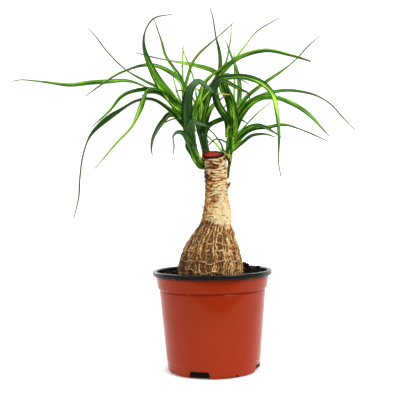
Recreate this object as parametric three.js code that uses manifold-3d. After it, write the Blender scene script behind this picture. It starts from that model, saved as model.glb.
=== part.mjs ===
// Potted ponytail palm: a moulded nursery pot full of soil, a swollen trunk whose cut top is
// sealed with red wax, and three leafy shoots that grow from the shoulder of the trunk.
// Millimetres, +Z up. The origin is the centre of the pot's flat underside, and the viewer of the
// front stands at -Y.

import * as THREE from "three";
import { mergeVertices } from "three/addons/utils/BufferGeometryUtils.js";
import Module from "manifold-3d";

const wasm = await Module();
wasm.setup();

// Gap between pieces that touch
const CLEARANCE = 0.3;

// Nursery pot
const POT_HEIGHT = 136;
const RIM_RADIUS = 82.5;
const RIM_DEPTH = 6;
const COLLAR_TOP_RADIUS = 78;
const COLLAR_FOOT_RADIUS = 74.5;
const COLLAR_FOOT_HEIGHT = 112.8;
const BODY_TOP_RADIUS = 72.6;
const BODY_FOOT_RADIUS = 65.4;
const FOOT_HEIGHT = 15;
const FOOT_TOP_RADIUS = 64.3;
const FOOT_RADIUS = 63.4;
const FLAT_RADIUS = 61.6;
const WALL = 1.8;
const FLOOR = 2.4;
const POT_SIDES = 48;
const DRAIN_WIDTH = 27;
const DRAIN_HEIGHT = 6;
const SLOT_WIDTH = 4.2;
const SLOT_HEIGHT = 3.2;
const DRAIN_ANGLE = -17.5;
const SLOT_ANGLE = 28;

// Soil
const SOIL_LEVEL = 129.5;
const SOIL_BUMP = 1.6;
const SOIL_SIDES = 32;

// Trunk: height, then how far its left and right sides stand from the pot's axis
const TRUNK_SIDES = [
  [88, -22, 16],
  [96, -34, 28],
  [110, -43, 38],
  [136, -47.6, 42],
  [150, -45, 40.8],
  [163.5, -40.7, 38],
  [177, -33.4, 34.2],
  [188.5, -24.7, 31.5],
  [199.5, -16, 27.7],
  [209, -11.8, 27.2],
  [220, -9.4, 26],
  [233, -7.8, 24.5],
  [256, -7.4, 23.5],
  [275, -8.4, 22.9],
  [286, -9.6, 21.8],
  [300, -11.5, 20.5],
];
const TRUNK_FOOT = 88;
const TRUNK_TIP = 84;
const RIDGES = 30;
const RIDGE_RELIEF = 2.2;
const NECK_RELIEF = 1.5;
const BARK_EDGE = 199;
const BARK_STEP = 1.1;
const CUT_HEIGHT = 293.5;
const CUT_TILT = 0.325;
const CUT_ROLL = 0.04;

// Wax seal
const WAX_CENTRE_X = 3.8;
const WAX_RADIUS = 14.8;
const WAX_THICKNESS = 2.4;

// The eye from which the leaves' front outlines are given
const EYE = new THREE.Vector3(-4.7, -900, 221.2);

// Shoot stems, foot to growing tip: x, y, z and radius
const STEMS = {
  left: [
    [-7.5, -2.5, 278.5, 2.6],
    [-10.5, -3, 280.5, 5.2],
    [-15, -4, 285.5, 6.2],
    [-20.5, -4.5, 294, 6.2],
    [-24.5, -4.5, 306, 6.4],
    [-26, -4.5, 322, 6.6],
    [-29.5, -4.5, 340, 6],
    [-34, -4.5, 360, 4.4],
    [-35, -4.5, 374, 1.8],
  ],
  centre: [
    [-4.5, 15.5, 283, 3.4],
    [-5.5, 16, 290, 5.6],
    [-7, 16.5, 298, 4.8],
    [-9, 17, 312, 4.3],
    [-10.5, 17, 332, 4.4],
    [-10, 17, 352, 3.4],
    [-9, 17, 372, 1.5],
  ],
  right: [
    [25, -1, 259, 1],
    [25.2, -1, 264, 2],
    [25.5, -1, 276, 2.3],
    [26, -1, 285, 2.8],
    [25.4, -1, 291, 4.9],
    [26.2, -1, 298, 5.6],
    [28, -1, 307, 5.6],
    [28.8, -1, 321, 5.4],
    [30.5, -1, 339, 4.8],
    [31.6, -1, 357, 3.4],
    [32, -1, 370, 1.5],
  ],
};
const STEM_SIDES = 8;

// Leaves. Each gives the height where it leaves its stem, its full width, the share of its length
// that is still a blade before it dries to a thread, how far it is turned from facing the front,
// in degrees at even steps from root to tip, its depth behind the pot's axis at the same kind of
// steps after the root, and its outline seen from the front, as x and z at the axis.
const LEAVES = {
  left: [
    { from: 343, width: 11, blade: 0.8, turn: [20, 25, 45, 68, 60], depth: [-22, -42, -55],
      path: [[-54, 377], [-70, 399], [-84, 427], [-90, 447], [-87, 468], [-74, 485], [-52, 489]] },
    { from: 358, width: 7, blade: 1, turn: [60, 70, 70], depth: [10, 30, 55],
      path: [[-68, 388], [-88, 399], [-114, 415], [-140, 441], [-156, 463], [-164, 471]] },
    { from: 372, width: 7, blade: 1, turn: [60, 70, 60], depth: [-14, -42, -75],
      path: [[-37, 396], [-50, 410], [-74, 420], [-95, 420], [-123, 411], [-148, 396], [-171, 380]] },
    { from: 362, width: 8, blade: 0.95, turn: [85, 88, 40, 35, 20], depth: [-4, -8, -12, -15],
      path: [[-52, 374], [-84, 390], [-109, 398], [-137, 398], [-164, 397], [-192, 394], [-226, 399],
        [-261, 404], [-273, 402]] },
    { from: 352, width: 7, blade: 1, turn: [40, 60, 65, 65], depth: [-12, -22, -50],
      path: [[-61, 378], [-82, 387], [-109, 384], [-123, 376], [-137, 360], [-163, 337]] },
    { from: 347, width: 6, blade: 1, turn: [50, 50], depth: [-18, -30],
      path: [[-54, 367], [-68, 381], [-82, 381], [-93, 378]] },
    { from: 330, width: 12, blade: 0.66, turn: [30, 82, 15, 30, 40], depth: [-12, -25, -35, -30],
      path: [[-44, 349], [-61, 364], [-80, 374], [-103, 372], [-124, 361], [-151, 342], [-166, 325],
        [-174, 298], [-180, 266], [-182, 240], [-190, 212]] },
    { from: 361, width: 7, blade: 1, turn: [60, 30, 80, 60], depth: [-35, -75, -115],
      path: [[-54, 378], [-71, 388], [-84, 388], [-91, 372], [-97, 356], [-107, 337], [-131, 312],
        [-160, 279]] },
    { from: 342, width: 7, blade: 1, turn: [40, 50, 60], depth: [-30, -60, -75],
      path: [[-47, 353], [-56, 353], [-65, 345], [-74, 333], [-80, 317], [-82, 306], [-80, 295]] },
    { from: 336, width: 4, blade: 1, turn: [60, 60], depth: [-25, -40],
      path: [[-42, 346], [-50, 346], [-65, 340]] },
    { from: 302, width: 8, blade: 1, turn: [30, 60, 60], depth: [-30, -55, -70],
      path: [[-33, 317], [-39, 325], [-46, 327], [-52, 322], [-53, 310], [-51, 296]] },
    { from: 292, width: 6, blade: 1, turn: [25, 30], depth: [-14],
      path: [[-27, 301], [-34, 310]] },
    { from: 326, width: 11.5, blade: 0.85, turn: [0, 10, 40, 60, 70], depth: [-30, -58, -75],
      path: [[-31, 345], [-31, 362], [-29, 378], [-22, 392], [-12, 398], [-4, 393], [3, 384],
        [12, 379], [30, 375]] },
    { from: 306, width: 9, blade: 0.9, turn: [10, 30, 60], depth: [-38, -72],
      path: [[-28, 322], [-28, 335], [-23, 342], [-14, 339], [-3, 334]] },
    { from: 370, width: 4, blade: 1, turn: [60, 60], depth: [30, 70],
      path: [[-36, 398], [-36, 420], [-34, 450]] },
    { from: 366, width: 7, blade: 0.9, turn: [50, 70, 70], depth: [8, 22, 45],
      path: [[-34, 384], [-39, 402], [-49, 417], [-60, 436], [-65, 456], [-74, 482]] },
    { from: 360, width: 4, blade: 1, turn: [60, 60], depth: [20, 45],
      path: [[-43, 379], [-46, 391], [-50, 407]] },
    { from: 363, width: 6, blade: 0.9, turn: [70, 75], depth: [14, 40, 70],
      path: [[-33, 388], [-30, 402], [-24, 420], [-12, 437], [12, 457], [33, 474]] },
    { from: 331, width: 8, blade: 1, turn: [20, 40], depth: [-8, -12],
      path: [[-24, 343], [-21, 357], [-17, 367], [-12, 379], [-9, 391]] },
    { from: 352, width: 9, blade: 1, turn: [25, 40, 60], depth: [40, 85, 115],
      path: [[-54, 378], [-68, 396], [-79, 414], [-86, 432]] },
    { from: 340, width: 9, blade: 1, turn: [50, 75, 50], depth: [38, 80, 105],
      path: [[-61, 364], [-80, 374], [-103, 371], [-122, 360]] },
    { from: 332, width: 9, blade: 1, turn: [10, 20, 30], depth: [30, 75, 110],
      path: [[-30, 352], [-29, 370], [-25, 384], [-17, 392]] },
  ],
  centre: [
    { from: 326, width: 7, blade: 1, turn: [20, 35], depth: [12, 4],
      path: [[-14, 343], [-17, 357], [-20, 369], [-25, 380]] },
    { from: 328, width: 8, blade: 1, turn: [10, 30], depth: [10, 4],
      path: [[-11, 346], [-11, 359], [-12, 373], [-11, 391]] },
    { from: 327, width: 7, blade: 1, turn: [-10, -40], depth: [10, 0],
      path: [[-8, 345], [-4, 361], [0, 373], [3, 388]] },
    { from: 338, width: 8.5, blade: 1, turn: [-20, -56, -60, -60, -60], depth: [15, 13, 8, 4],
      path: [[-12, 366], [-4, 379], [4, 389], [11, 400], [18, 410], [29, 420], [50, 432], [82, 438],
        [115, 431], [143, 422]] },
    { from: 350, width: 5, blade: 1, turn: [-60, -70], depth: [40, 75],
      path: [[-8, 378], [-1, 400], [18, 414], [25, 424], [29, 442], [32, 460], [33, 477]] },
    { from: 324, width: 7, blade: 0.9, turn: [-20, -35, -50], depth: [10, -4],
      path: [[-5, 341], [-1, 353], [6, 363], [15, 371], [22, 376], [30, 376]] },
    { from: 317, width: 7, blade: 1, turn: [-45, -45], depth: [20, 28, 34],
      path: [[-3, 332], [9, 341], [28, 345], [44, 343], [54, 337]] },
    { from: 354, width: 7, blade: 0.75, turn: [-50, -62, -60], depth: [40, 70, 90],
      path: [[-7, 376], [3, 390], [16, 405], [29, 417], [37, 427], [50, 444], [68, 465], [97, 481]] },
    { from: 352, width: 4, blade: 1, turn: [60, 60], depth: [34, 60],
      path: [[-17, 374], [-20, 398], [-24, 412], [-32, 434], [-36, 445]] },
    { from: 342, width: 9, blade: 1, turn: [-40, -55, -50], depth: [55, 95, 125],
      path: [[1, 387], [14, 403], [30, 419], [46, 430]] },
    { from: 330, width: 9, blade: 1, turn: [0, 20, 30], depth: [50, 90, 120],
      path: [[-10, 356], [-11, 374], [-14, 385], [-19, 388]] },
  ],
  right: [
    { from: 319, width: 10, blade: 0.95, turn: [-25, -30, -58, -50, -58, -62, -64],
      depth: [-14, -30, -48, -62, -70],
      path: [[22, 341], [17, 353], [12, 366], [9, 376], [8, 384], [10, 392], [15, 399], [25, 402],
        [43, 402], [58, 399], [74, 391], [86, 375], [93, 348], [94, 320], [93, 283], [96, 266]] },
    { from: 318, width: 10, blade: 1, turn: [0, -15, -35], depth: [-6, -10],
      path: [[31, 328], [34, 345], [32, 357], [27, 371], [22, 384], [17, 397]] },
    { from: 343, width: 4, blade: 1, turn: [60, 60], depth: [20, 60],
      path: [[36, 358], [35, 376], [36, 404], [36, 443]] },
    { from: 340, width: 7, blade: 1, turn: [40, 55, 70], depth: [14, 30, 48],
      path: [[39, 358], [42, 386], [40, 407], [33, 429], [24, 455]] },
    { from: 322, width: 10.5, blade: 1, turn: [-10, -40, -62, -52, -48], depth: [-5, -10, -14],
      path: [[43, 352], [56, 366], [72, 372], [88, 373], [103, 370], [122, 360], [140, 347],
        [164, 319]] },
    { from: 328, width: 6, blade: 1, turn: [-55, -65, -65], depth: [10, 22, 38],
      path: [[41, 353], [57, 369], [88, 381], [107, 383], [125, 381], [148, 374], [166, 363],
        [180, 346], [199, 327]] },
    { from: 335, width: 6.5, blade: 0.75, turn: [-60, -64, -64], depth: [16, 46, 80],
      path: [[38, 354], [52, 374], [74, 392], [101, 410], [124, 429], [136, 442], [151, 454]] },
    { from: 336, width: 7, blade: 0.8, turn: [-50, -70, -85, -45, -60], depth: [18, 40, 60],
      path: [[31, 352], [27.5, 369], [22.5, 383], [17.5, 398], [17.5, 411], [18, 424], [16, 440],
        [12, 458], [8, 486], [5, 494]] },
    { from: 338, width: 4, blade: 1, turn: [-60, -60], depth: [4, 8, 14, 20],
      path: [[28, 371], [23, 389], [26, 404], [36, 402], [54, 391], [51, 380], [45, 369]] },
    { from: 343, width: 9, blade: 1, turn: [-50, -35, -35], depth: [-10, -30, -50],
      path: [[27, 370], [20, 386], [19.5, 394], [24, 396.5], [32, 389.5], [40, 382], [50, 377],
        [60, 375]] },
    { from: 350, width: 3, blade: 1, turn: [30, 50], depth: [-5, -12],
      path: [[31, 367], [24, 364], [20, 359]] },
    { from: 309, width: 3.5, blade: 1, turn: [-60, -60], depth: [30, 70],
      path: [[52, 337], [68, 353], [86, 367]] },
    { from: 308, width: 6, blade: 1, turn: [-45, -45], depth: [-2, 4, 10],
      path: [[46, 328], [57, 334], [68, 335], [78, 332], [87, 326], [99, 319]] },
    { from: 300, width: 7, blade: 0.9, turn: [-45, -58, -60], depth: [8, 20, 36],
      path: [[37, 311], [50, 324], [64, 331], [80, 332], [103, 335], [127, 326], [161, 310]] },
    { from: 297, width: 5.5, blade: 1, turn: [-40, -45], depth: [-14, -32],
      path: [[35, 303], [46, 312], [59, 320], [71, 322], [81, 321], [92, 317]] },
    { from: 296, width: 4, blade: 1, turn: [35, 45], depth: [-6, -8],
      path: [[18, 303], [13, 311], [4, 324], [-1, 330]] },
    { from: 294, width: 3.5, blade: 1, turn: [35, 45], depth: [2, 3],
      path: [[16, 299], [9, 307], [0, 316], [-5, 321]] },
    { from: 302, width: 3, blade: 1, turn: [50, 50], depth: [5, 7],
      path: [[23, 309], [18, 314], [7, 316], [-1, 310]] },
    { from: 296, width: 6, blade: 1, turn: [10, 30], depth: [-6],
      path: [[21, 304], [19, 316]] },
    { from: 346, width: 6, blade: 0.8, turn: [60, 55, 60], depth: [24, 36, 44],
      path: [[29, 366], [23, 384], [17, 398], [7, 409], [-19, 417], [-46, 423], [-74, 430],
        [-101, 437]] },
    { from: 330, width: 9, blade: 1, turn: [-30, -62, -50], depth: [34, 70, 105],
      path: [[43, 353], [56, 366], [75, 372], [97, 370], [118, 360]] },
    { from: 333, width: 7, blade: 1, turn: [-35, -50, -60], depth: [30, 66, 100],
      path: [[20, 344], [15, 356], [11, 369], [8, 381], [10, 392], [18, 400], [32, 402],
        [48, 401]] },
    { from: 328, width: 8, blade: 1, turn: [0, -20, -30], depth: [28, 60, 90],
      path: [[33, 346], [34, 360], [31, 375], [26, 388]] },
  ],
};
const BLADE_THICKNESS = 1.5;
const THREAD_WIDTH = 1.1;
const CHANNEL_DEPTH = 0.13;
const LEAF_STEP = 24;
const LEAF_BEND = 21;

// Helpers for numbers

const clamp = (value, low, high) => Math.min(high, Math.max(low, value));
const smooth = (low, high, value) => {
  const t = clamp((value - low) / (high - low), 0, 1);
  return t * t * (3 - 2 * t);
};

// A repeatable scatter of numbers between 0 and 1 over whole numbers i and j
function scatter(i, j) {
  const wave = Math.sin(i * 127.1 + j * 311.7) * 43758.5453;
  return wave - Math.floor(wave);
}

// The scatter blended smoothly between its whole numbers
function noise(x, y) {
  const i = Math.floor(x);
  const j = Math.floor(y);
  const u = smooth(0, 1, x - i);
  const v = smooth(0, 1, y - j);
  const low = scatter(i, j) * (1 - u) + scatter(i + 1, j) * u;
  const high = scatter(i, j + 1) * (1 - u) + scatter(i + 1, j + 1) * u;
  return low * (1 - v) + high * v;
}

// A smooth curve through values[0], values[1], ... at whole steps, read at the given step
function through(values, step) {
  const i = clamp(Math.floor(step), 0, values.length - 2);
  const t = clamp(step - i, 0, 1);
  const at = (k) => values[clamp(k, 0, values.length - 1)];
  const slopeIn = (at(i + 1) - at(i - 1)) / 2;
  const slopeOut = (at(i + 2) - at(i)) / 2;
  const a = 2 * t ** 3 - 3 * t ** 2 + 1;
  const b = t ** 3 - 2 * t ** 2 + t;
  const c = -2 * t ** 3 + 3 * t ** 2;
  const d = t ** 3 - t ** 2;
  return a * at(i) + b * slopeIn + c * at(i + 1) + d * slopeOut;
}

// Helpers for surfaces and solids

// A closed surface through rings of points, with a fan to a point at each end
function loft(rings, start, end) {
  const count = rings[0].length;
  const middle = (ring) => ring.reduce((sum, p) => sum.add(p), new THREE.Vector3()).divideScalar(count);
  const points = [start ?? middle(rings[0]), ...rings.flat(), end ?? middle(rings.at(-1))];
  const last = points.length - 1;
  const faces = [];
  for (let k = 0; k < count; k += 1) {
    const next = (k + 1) % count;
    faces.push(0, 1 + next, 1 + k);
    for (let i = 0; i < rings.length - 1; i += 1) {
      const low = 1 + i * count;
      const high = low + count;
      faces.push(low + k, low + next, high + next);
      faces.push(low + k, high + next, high + k);
    }
    const top = 1 + (rings.length - 1) * count;
    faces.push(top + k, top + next, last);
  }
  let volume = 0;
  for (let f = 0; f < faces.length; f += 3) {
    const [a, b, c] = [points[faces[f]], points[faces[f + 1]], points[faces[f + 2]]];
    volume += a.dot(new THREE.Vector3().crossVectors(b, c));
  }
  if (volume < 0) {
    faces.reverse();
  }
  const geometry = new THREE.BufferGeometry();
  geometry.setAttribute("position", new THREE.Float32BufferAttribute(points.flatMap((p) => p.toArray()), 3));
  geometry.setIndex(faces);
  return geometry;
}

function toSolid(geometry) {
  const bare = geometry.clone();
  bare.deleteAttribute("normal");
  bare.deleteAttribute("uv");
  const merged = mergeVertices(bare, 1e-4);
  const vertProperties = new Float32Array(merged.attributes.position.array);
  const triVerts = new Uint32Array(merged.index.array);
  return new wasm.Manifold(new wasm.Mesh({ numProp: 3, vertProperties, triVerts }));
}

function toGeometry(solid) {
  const mesh = solid.getMesh();
  const geometry = new THREE.BufferGeometry();
  geometry.setAttribute("position", new THREE.BufferAttribute(mesh.vertProperties, 3));
  geometry.setIndex(new THREE.BufferAttribute(mesh.triVerts, 1));
  return geometry;
}

const joined = (geometries) => geometries.map(toSolid).reduce((sum, solid) => sum.add(solid));

// The body itself, without the specks of air that a join shuts in
const solidThrough = (solid) => solid.decompose().reduce((a, b) => (a.volume() > b.volume() ? a : b));

function piece(name, geometry, color, roughness, metalness = 0) {
  geometry.computeVertexNormals();
  const material = new THREE.MeshStandardMaterial({ color, roughness, metalness });
  const mesh = new THREE.Mesh(geometry, material);
  mesh.name = name;
  return mesh;
}

// Circle of points round a centre, square to a direction
function ring(centre, direction, radius, sides) {
  const turn = new THREE.Quaternion().setFromUnitVectors(new THREE.Vector3(0, 0, 1), direction);
  return Array.from({ length: sides }, (_, k) => {
    const angle = (2 * Math.PI * k) / sides;
    const spoke = new THREE.Vector3(Math.cos(angle), Math.sin(angle), 0).multiplyScalar(radius);
    return spoke.applyQuaternion(turn).add(centre);
  });
}

// Round rod through [x, y, z, radius] stations, made fatter all over by extra
function rod(stations, sides, extra = 0) {
  const spots = stations.map(([x, y, z]) => new THREE.Vector3(x, y, z));
  const rings = spots.map((spot, i) => {
    const before = spots[Math.max(0, i - 1)];
    const after = spots[Math.min(spots.length - 1, i + 1)];
    const direction = new THREE.Vector3().subVectors(after, before).normalize();
    return ring(spot, direction, stations[i][3] + extra, sides);
  });
  const reach = (spot, other) => {
    const out = new THREE.Vector3().subVectors(spot, other).normalize();
    return spot.clone().addScaledVector(out, 0.6 + extra);
  };
  return loft(rings, reach(spots[0], spots[1]), reach(spots.at(-1), spots.at(-2)));
}

// Nursery pot

// Outer and inner wall, from the centre of the underside out, up and back down inside
function potProfile() {
  const rimFoot = POT_HEIGHT - RIM_DEPTH;
  return [
    [0, 0],
    [FLAT_RADIUS, 0],
    [FOOT_RADIUS, 1.8],
    [FOOT_TOP_RADIUS, FOOT_HEIGHT - 0.8],
    [BODY_FOOT_RADIUS, FOOT_HEIGHT + 0.8],
    [BODY_TOP_RADIUS, COLLAR_FOOT_HEIGHT - 1],
    [COLLAR_FOOT_RADIUS, COLLAR_FOOT_HEIGHT],
    [COLLAR_TOP_RADIUS, rimFoot - 0.2],
    [RIM_RADIUS - 0.9, rimFoot],
    [RIM_RADIUS, rimFoot + 1.3],
    [RIM_RADIUS, POT_HEIGHT - 1.8],
    [RIM_RADIUS - 1.5, POT_HEIGHT],
    [COLLAR_TOP_RADIUS - 0.6, POT_HEIGHT],
    [COLLAR_TOP_RADIUS - WALL, POT_HEIGHT - 1.6],
    [COLLAR_TOP_RADIUS - WALL - 0.1, rimFoot - 1],
    [COLLAR_FOOT_RADIUS - WALL, COLLAR_FOOT_HEIGHT + 1],
    [BODY_TOP_RADIUS - WALL, COLLAR_FOOT_HEIGHT],
    [BODY_FOOT_RADIUS - WALL, FOOT_HEIGHT + 1.2],
    [FOOT_TOP_RADIUS - WALL, FOOT_HEIGHT],
    [FOOT_RADIUS - WALL, FLOOR],
    [0, FLOOR],
  ];
}

// Opening in the foot: a shape drawn across the wall and pushed out through it
function footCutter(outline, degrees) {
  const shape = new THREE.Shape(outline.map(([x, z]) => new THREE.Vector2(x, z)));
  const cutter = new THREE.ExtrudeGeometry(shape, { depth: 16, bevelEnabled: false });
  cutter.rotateX(Math.PI / 2);
  cutter.translate(0, -54, 0);
  cutter.rotateZ(THREE.MathUtils.degToRad(degrees));
  return toSolid(cutter);
}

function nurseryPot() {
  const profile = potProfile().map(([r, z]) => new THREE.Vector2(r, z));
  const lathe = new THREE.LatheGeometry(profile, POT_SIDES);
  lathe.rotateX(Math.PI / 2);
  let pot = toSolid(lathe);
  const half = DRAIN_WIDTH / 2;
  const drain = [[-half - 2.5, -2], [half + 2.5, -2], [half - 2, DRAIN_HEIGHT], [2 - half, DRAIN_HEIGHT]];
  const side = SLOT_WIDTH / 2;
  const slot = [[-side, -2], [side, -2], [side, SLOT_HEIGHT / 2], [0, SLOT_HEIGHT], [-side, SLOT_HEIGHT / 2]];
  for (let quarter = 0; quarter < 4; quarter += 1) {
    pot = pot.subtract(footCutter(drain, DRAIN_ANGLE + 90 * quarter));
    pot = pot.subtract(footCutter(slot, SLOT_ANGLE + 90 * quarter));
  }
  return pot;
}

// Trunk

// Centre and radius of the trunk at a height
function trunkAt(height) {
  const rows = TRUNK_SIDES;
  let i = rows.findIndex((row) => row[0] > height) - 1;
  i = i < 0 ? (height < rows[0][0] ? 0 : rows.length - 2) : i;
  const step = i + (height - rows[i][0]) / (rows[i + 1][0] - rows[i][0]);
  const left = through(rows.map((row) => row[1]), step);
  const right = through(rows.map((row) => row[2]), step);
  return { centre: (left + right) / 2, radius: (right - left) / 2 };
}

// Height of the slanted cut above a spot
const cutHeight = (x, y) => CUT_HEIGHT + CUT_TILT * y + CUT_ROLL * (x - WAX_CENTRE_X);

// Soft lobes that keep the swollen foot from being a true round
const lobes = (angle, height) => {
  const swell = 1 - smooth(170, 215, height);
  return 1 + swell * (0.022 * Math.cos(3 * angle + 0.6) + 0.014 * Math.cos(5 * angle + 2.1));
};

// Relief of the bark at column k and row i: ridges at even columns, with furrows between them that
// raised ties break into a net on the swollen foot, and papery wrinkles above the bark's ragged edge
function barkRelief(k, i, height) {
  const sunk = smooth(124, 140, height);
  const edge = BARK_EDGE + 4 * Math.sin((6 * Math.PI * k) / (2 * RIDGES)) + 3 * (scatter(k, 7) - 0.5);
  const neck = smooth(edge - 1, edge + 3, height);
  const furrow = k % 2 === 1;
  const tie = (i + Math.floor(3 * scatter(k, 3))) % 3 === 0;
  const crest = furrow && !tie ? -1 : 0.25 * (scatter(k, i) - 0.5);
  const net = RIDGE_RELIEF * (0.55 + 0.45 * scatter(Math.floor(k / 2), 11)) * crest;
  const wrinkle = NECK_RELIEF * (noise(k / 6, i * 1.3) - 0.5);
  return sunk * ((1 - neck) * net + neck * (wrinkle + BARK_STEP * (1 - smooth(215, 250, height))));
}

function trunkRing(height, i) {
  const columns = 2 * RIDGES;
  return Array.from({ length: columns }, (_, k) => {
    const wander = 0.022 * Math.sin(height / 8 + 0.6 * Math.floor(k / 2));
    const angle = (2 * Math.PI * k) / columns + wander;
    const { centre, radius } = trunkAt(height);
    const spread = radius * lobes(angle, height) + barkRelief(k, i, height);
    const x = centre + spread * Math.cos(angle);
    const y = spread * Math.sin(angle);
    const rise = smooth(262, CUT_HEIGHT, height);
    return new THREE.Vector3(x, y, height + rise * (cutHeight(x, y) - CUT_HEIGHT));
  });
}

function trunkHeights() {
  const heights = [TRUNK_FOOT, 96, 108, 120];
  for (let z = 128; z < 206; z += 4) {
    heights.push(z);
  }
  for (let z = 209; z < CUT_HEIGHT - 3; z += 6.5) {
    heights.push(z);
  }
  heights.push(CUT_HEIGHT);
  return heights;
}

// Stout roots that hold the plant in the soil
const ROOTS = [20, 110, 195, 290].map((degrees, i) => {
  const angle = THREE.MathUtils.degToRad(degrees);
  const across = (distance) => [distance * Math.cos(angle), distance * Math.sin(angle)];
  const drop = 6 * (i % 2);
  return [
    [...across(8), 100, 5],
    [...across(22), 84 - drop, 5],
    [...across(34), 62 - drop, 3.6],
    [...across(39), 38 - drop, 2],
  ];
});
const ROOT_SIDES = 6;

// Dry brown bud on the right of the neck
const BUD = [[20, 0, 247, 1.8], [24, 0, 250, 2], [26.4, 0, 254, 1.5], [27.2, 0, 258, 0.6]];

function caudexTrunk() {
  const rings = trunkHeights().map((height, i) => trunkRing(height, i));
  const foot = new THREE.Vector3(trunkAt(TRUNK_FOOT).centre, 0, TRUNK_TIP);
  const roots = ROOTS.map((root) => rod(root, ROOT_SIDES));
  let trunk = joined([loft(rings, foot), ...roots, rod(BUD, ROOT_SIDES)]);
  for (const stem of Object.values(STEMS)) {
    trunk = trunk.subtract(toSolid(rod(stem, STEM_SIDES, CLEARANCE)));
  }
  return trunk;
}

// Plain hole for the buried foot and the roots
const HOLE_SIDES = 24;

function plantHole() {
  const heights = [TRUNK_FOOT - CLEARANCE, 96, 108, 120, 130, 140, 150];
  const rings = heights.map((height) => {
    const { centre, radius } = trunkAt(height);
    return Array.from({ length: HOLE_SIDES }, (_, k) => {
      const angle = (2 * Math.PI * k) / HOLE_SIDES;
      const spread = radius * lobes(angle, height) + 1.2;
      return new THREE.Vector3(centre + spread * Math.cos(angle), spread * Math.sin(angle), height);
    });
  });
  const foot = new THREE.Vector3(trunkAt(TRUNK_FOOT).centre, 0, TRUNK_TIP - 1);
  return joined([loft(rings, foot), ...ROOTS.map((root) => rod(root, ROOT_SIDES, CLEARANCE))]);
}

// Soil

// Crumbly top, heaped a little behind and to the right of the trunk
function soilHeight(x, y) {
  const heap = (cx, cy, high, wide) => high * Math.exp(-((x - cx) ** 2 + (y - cy) ** 2) / (2 * wide ** 2));
  const crumbs = SOIL_BUMP * (2 * noise(x / 7 + 40, y / 7 + 40) - 1);
  return SOIL_LEVEL + crumbs + heap(48, 22, 9, 8) + heap(60, 34, 5, 5);
}

function pottingSoil() {
  const inside = (r, z) => [r - WALL - 2 * CLEARANCE, z];
  const side = [
    [FOOT_RADIUS - WALL - 2 * CLEARANCE, FLOOR + CLEARANCE],
    inside(FOOT_TOP_RADIUS, FOOT_HEIGHT),
    inside(BODY_FOOT_RADIUS, FOOT_HEIGHT + 2.4),
    inside(BODY_TOP_RADIUS, COLLAR_FOOT_HEIGHT),
    inside(COLLAR_FOOT_RADIUS, COLLAR_FOOT_HEIGHT + 2.4),
  ];
  const edge = COLLAR_TOP_RADIUS - WALL - 3 * CLEARANCE;
  const circle = (r, heightAt) => Array.from({ length: SOIL_SIDES }, (_, k) => {
    const angle = (2 * Math.PI * k) / SOIL_SIDES;
    const [x, y] = [r * Math.cos(angle), r * Math.sin(angle)];
    return new THREE.Vector3(x, y, heightAt(x, y));
  });
  const rings = [
    ...side.map(([r, z]) => circle(r, () => z)),
    circle(edge, () => SOIL_LEVEL - 2.5),
    ...[edge - 3, 66, 60, 54, 48, 40].map((r) => circle(r, soilHeight)),
  ];
  const start = new THREE.Vector3(0, 0, FLOOR + CLEARANCE);
  return toSolid(loft(rings, start)).subtract(plantHole());
}

// Wax seal

function waxSeal() {
  const spread = (share, lift) => Array.from({ length: 28 }, (_, k) => {
    const angle = (2 * Math.PI * k) / 28;
    const r = WAX_RADIUS * share * (1 + 0.05 * (noise(k / 2.5, 5) - 0.5));
    const [x, y] = [WAX_CENTRE_X + r * Math.cos(angle), r * Math.sin(angle)];
    return new THREE.Vector3(x, y, cutHeight(x, y) + CLEARANCE + lift);
  });
  const rings = [spread(0.97, 0), spread(1, 0.7), spread(0.97, 1.9), spread(0.86, WAX_THICKNESS),
    spread(0.4, WAX_THICKNESS - 0.3)];
  let wax = toSolid(loft(rings));
  for (const stem of Object.values(STEMS)) {
    wax = wax.subtract(toSolid(rod(stem, STEM_SIDES, CLEARANCE)));
  }
  return wax;
}

// Shoots

// The spot at a depth that stands at x and z in the front view, which is drawn at the pot's axis
function seenAt(x, z, depth) {
  const scale = (depth - EYE.y) / -EYE.y;
  return new THREE.Vector3(EYE.x + (x - EYE.x) * scale, depth, EYE.z + (z - EYE.z) * scale);
}

// The stem's middle at a height
function stemAt(stem, height) {
  const i = clamp(stem.findIndex((station) => station[2] > height) - 1, 0, stem.length - 2);
  const t = (height - stem[i][2]) / (stem[i + 1][2] - stem[i][2]);
  return new THREE.Vector3(...[0, 1, 2].map((k) => stem[i][k] + t * (stem[i + 1][k] - stem[i][k])));
}

// Shares of a curve's length at which a leaf gets a cross-section, closer together where it bends
function sharesAlong(curve) {
  const fine = 90;
  const spots = curve.getSpacedPoints(fine);
  const need = [0];
  for (let i = 1; i <= fine; i += 1) {
    const here = new THREE.Vector3().subVectors(spots[i], spots[i - 1]);
    const next = i < fine ? new THREE.Vector3().subVectors(spots[i + 1], spots[i]) : here;
    const bend = THREE.MathUtils.radToDeg(here.angleTo(next));
    need.push(need[i - 1] + here.length() / LEAF_STEP + bend / LEAF_BEND);
  }
  const steps = Math.max(5, Math.round(need[fine]));
  return Array.from({ length: steps + 1 }, (_, k) => {
    const goal = (need[fine] * k) / steps;
    const i = Math.max(1, need.findIndex((value) => value >= goal - 1e-9));
    return Math.min(1, (i - 1 + (goal - need[i - 1]) / (need[i] - need[i - 1])) / fine);
  });
}

// Width of a leaf at a share of its length: full for the first half, then drawn in to a thread
function widthAt(leaf, share) {
  const along = Math.min(1, share / leaf.blade);
  const strap = leaf.width * (0.86 + 0.14 * smooth(0, 0.2, along)) * (1 - along ** 2.6);
  return Math.max(THREAD_WIDTH, strap);
}

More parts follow.
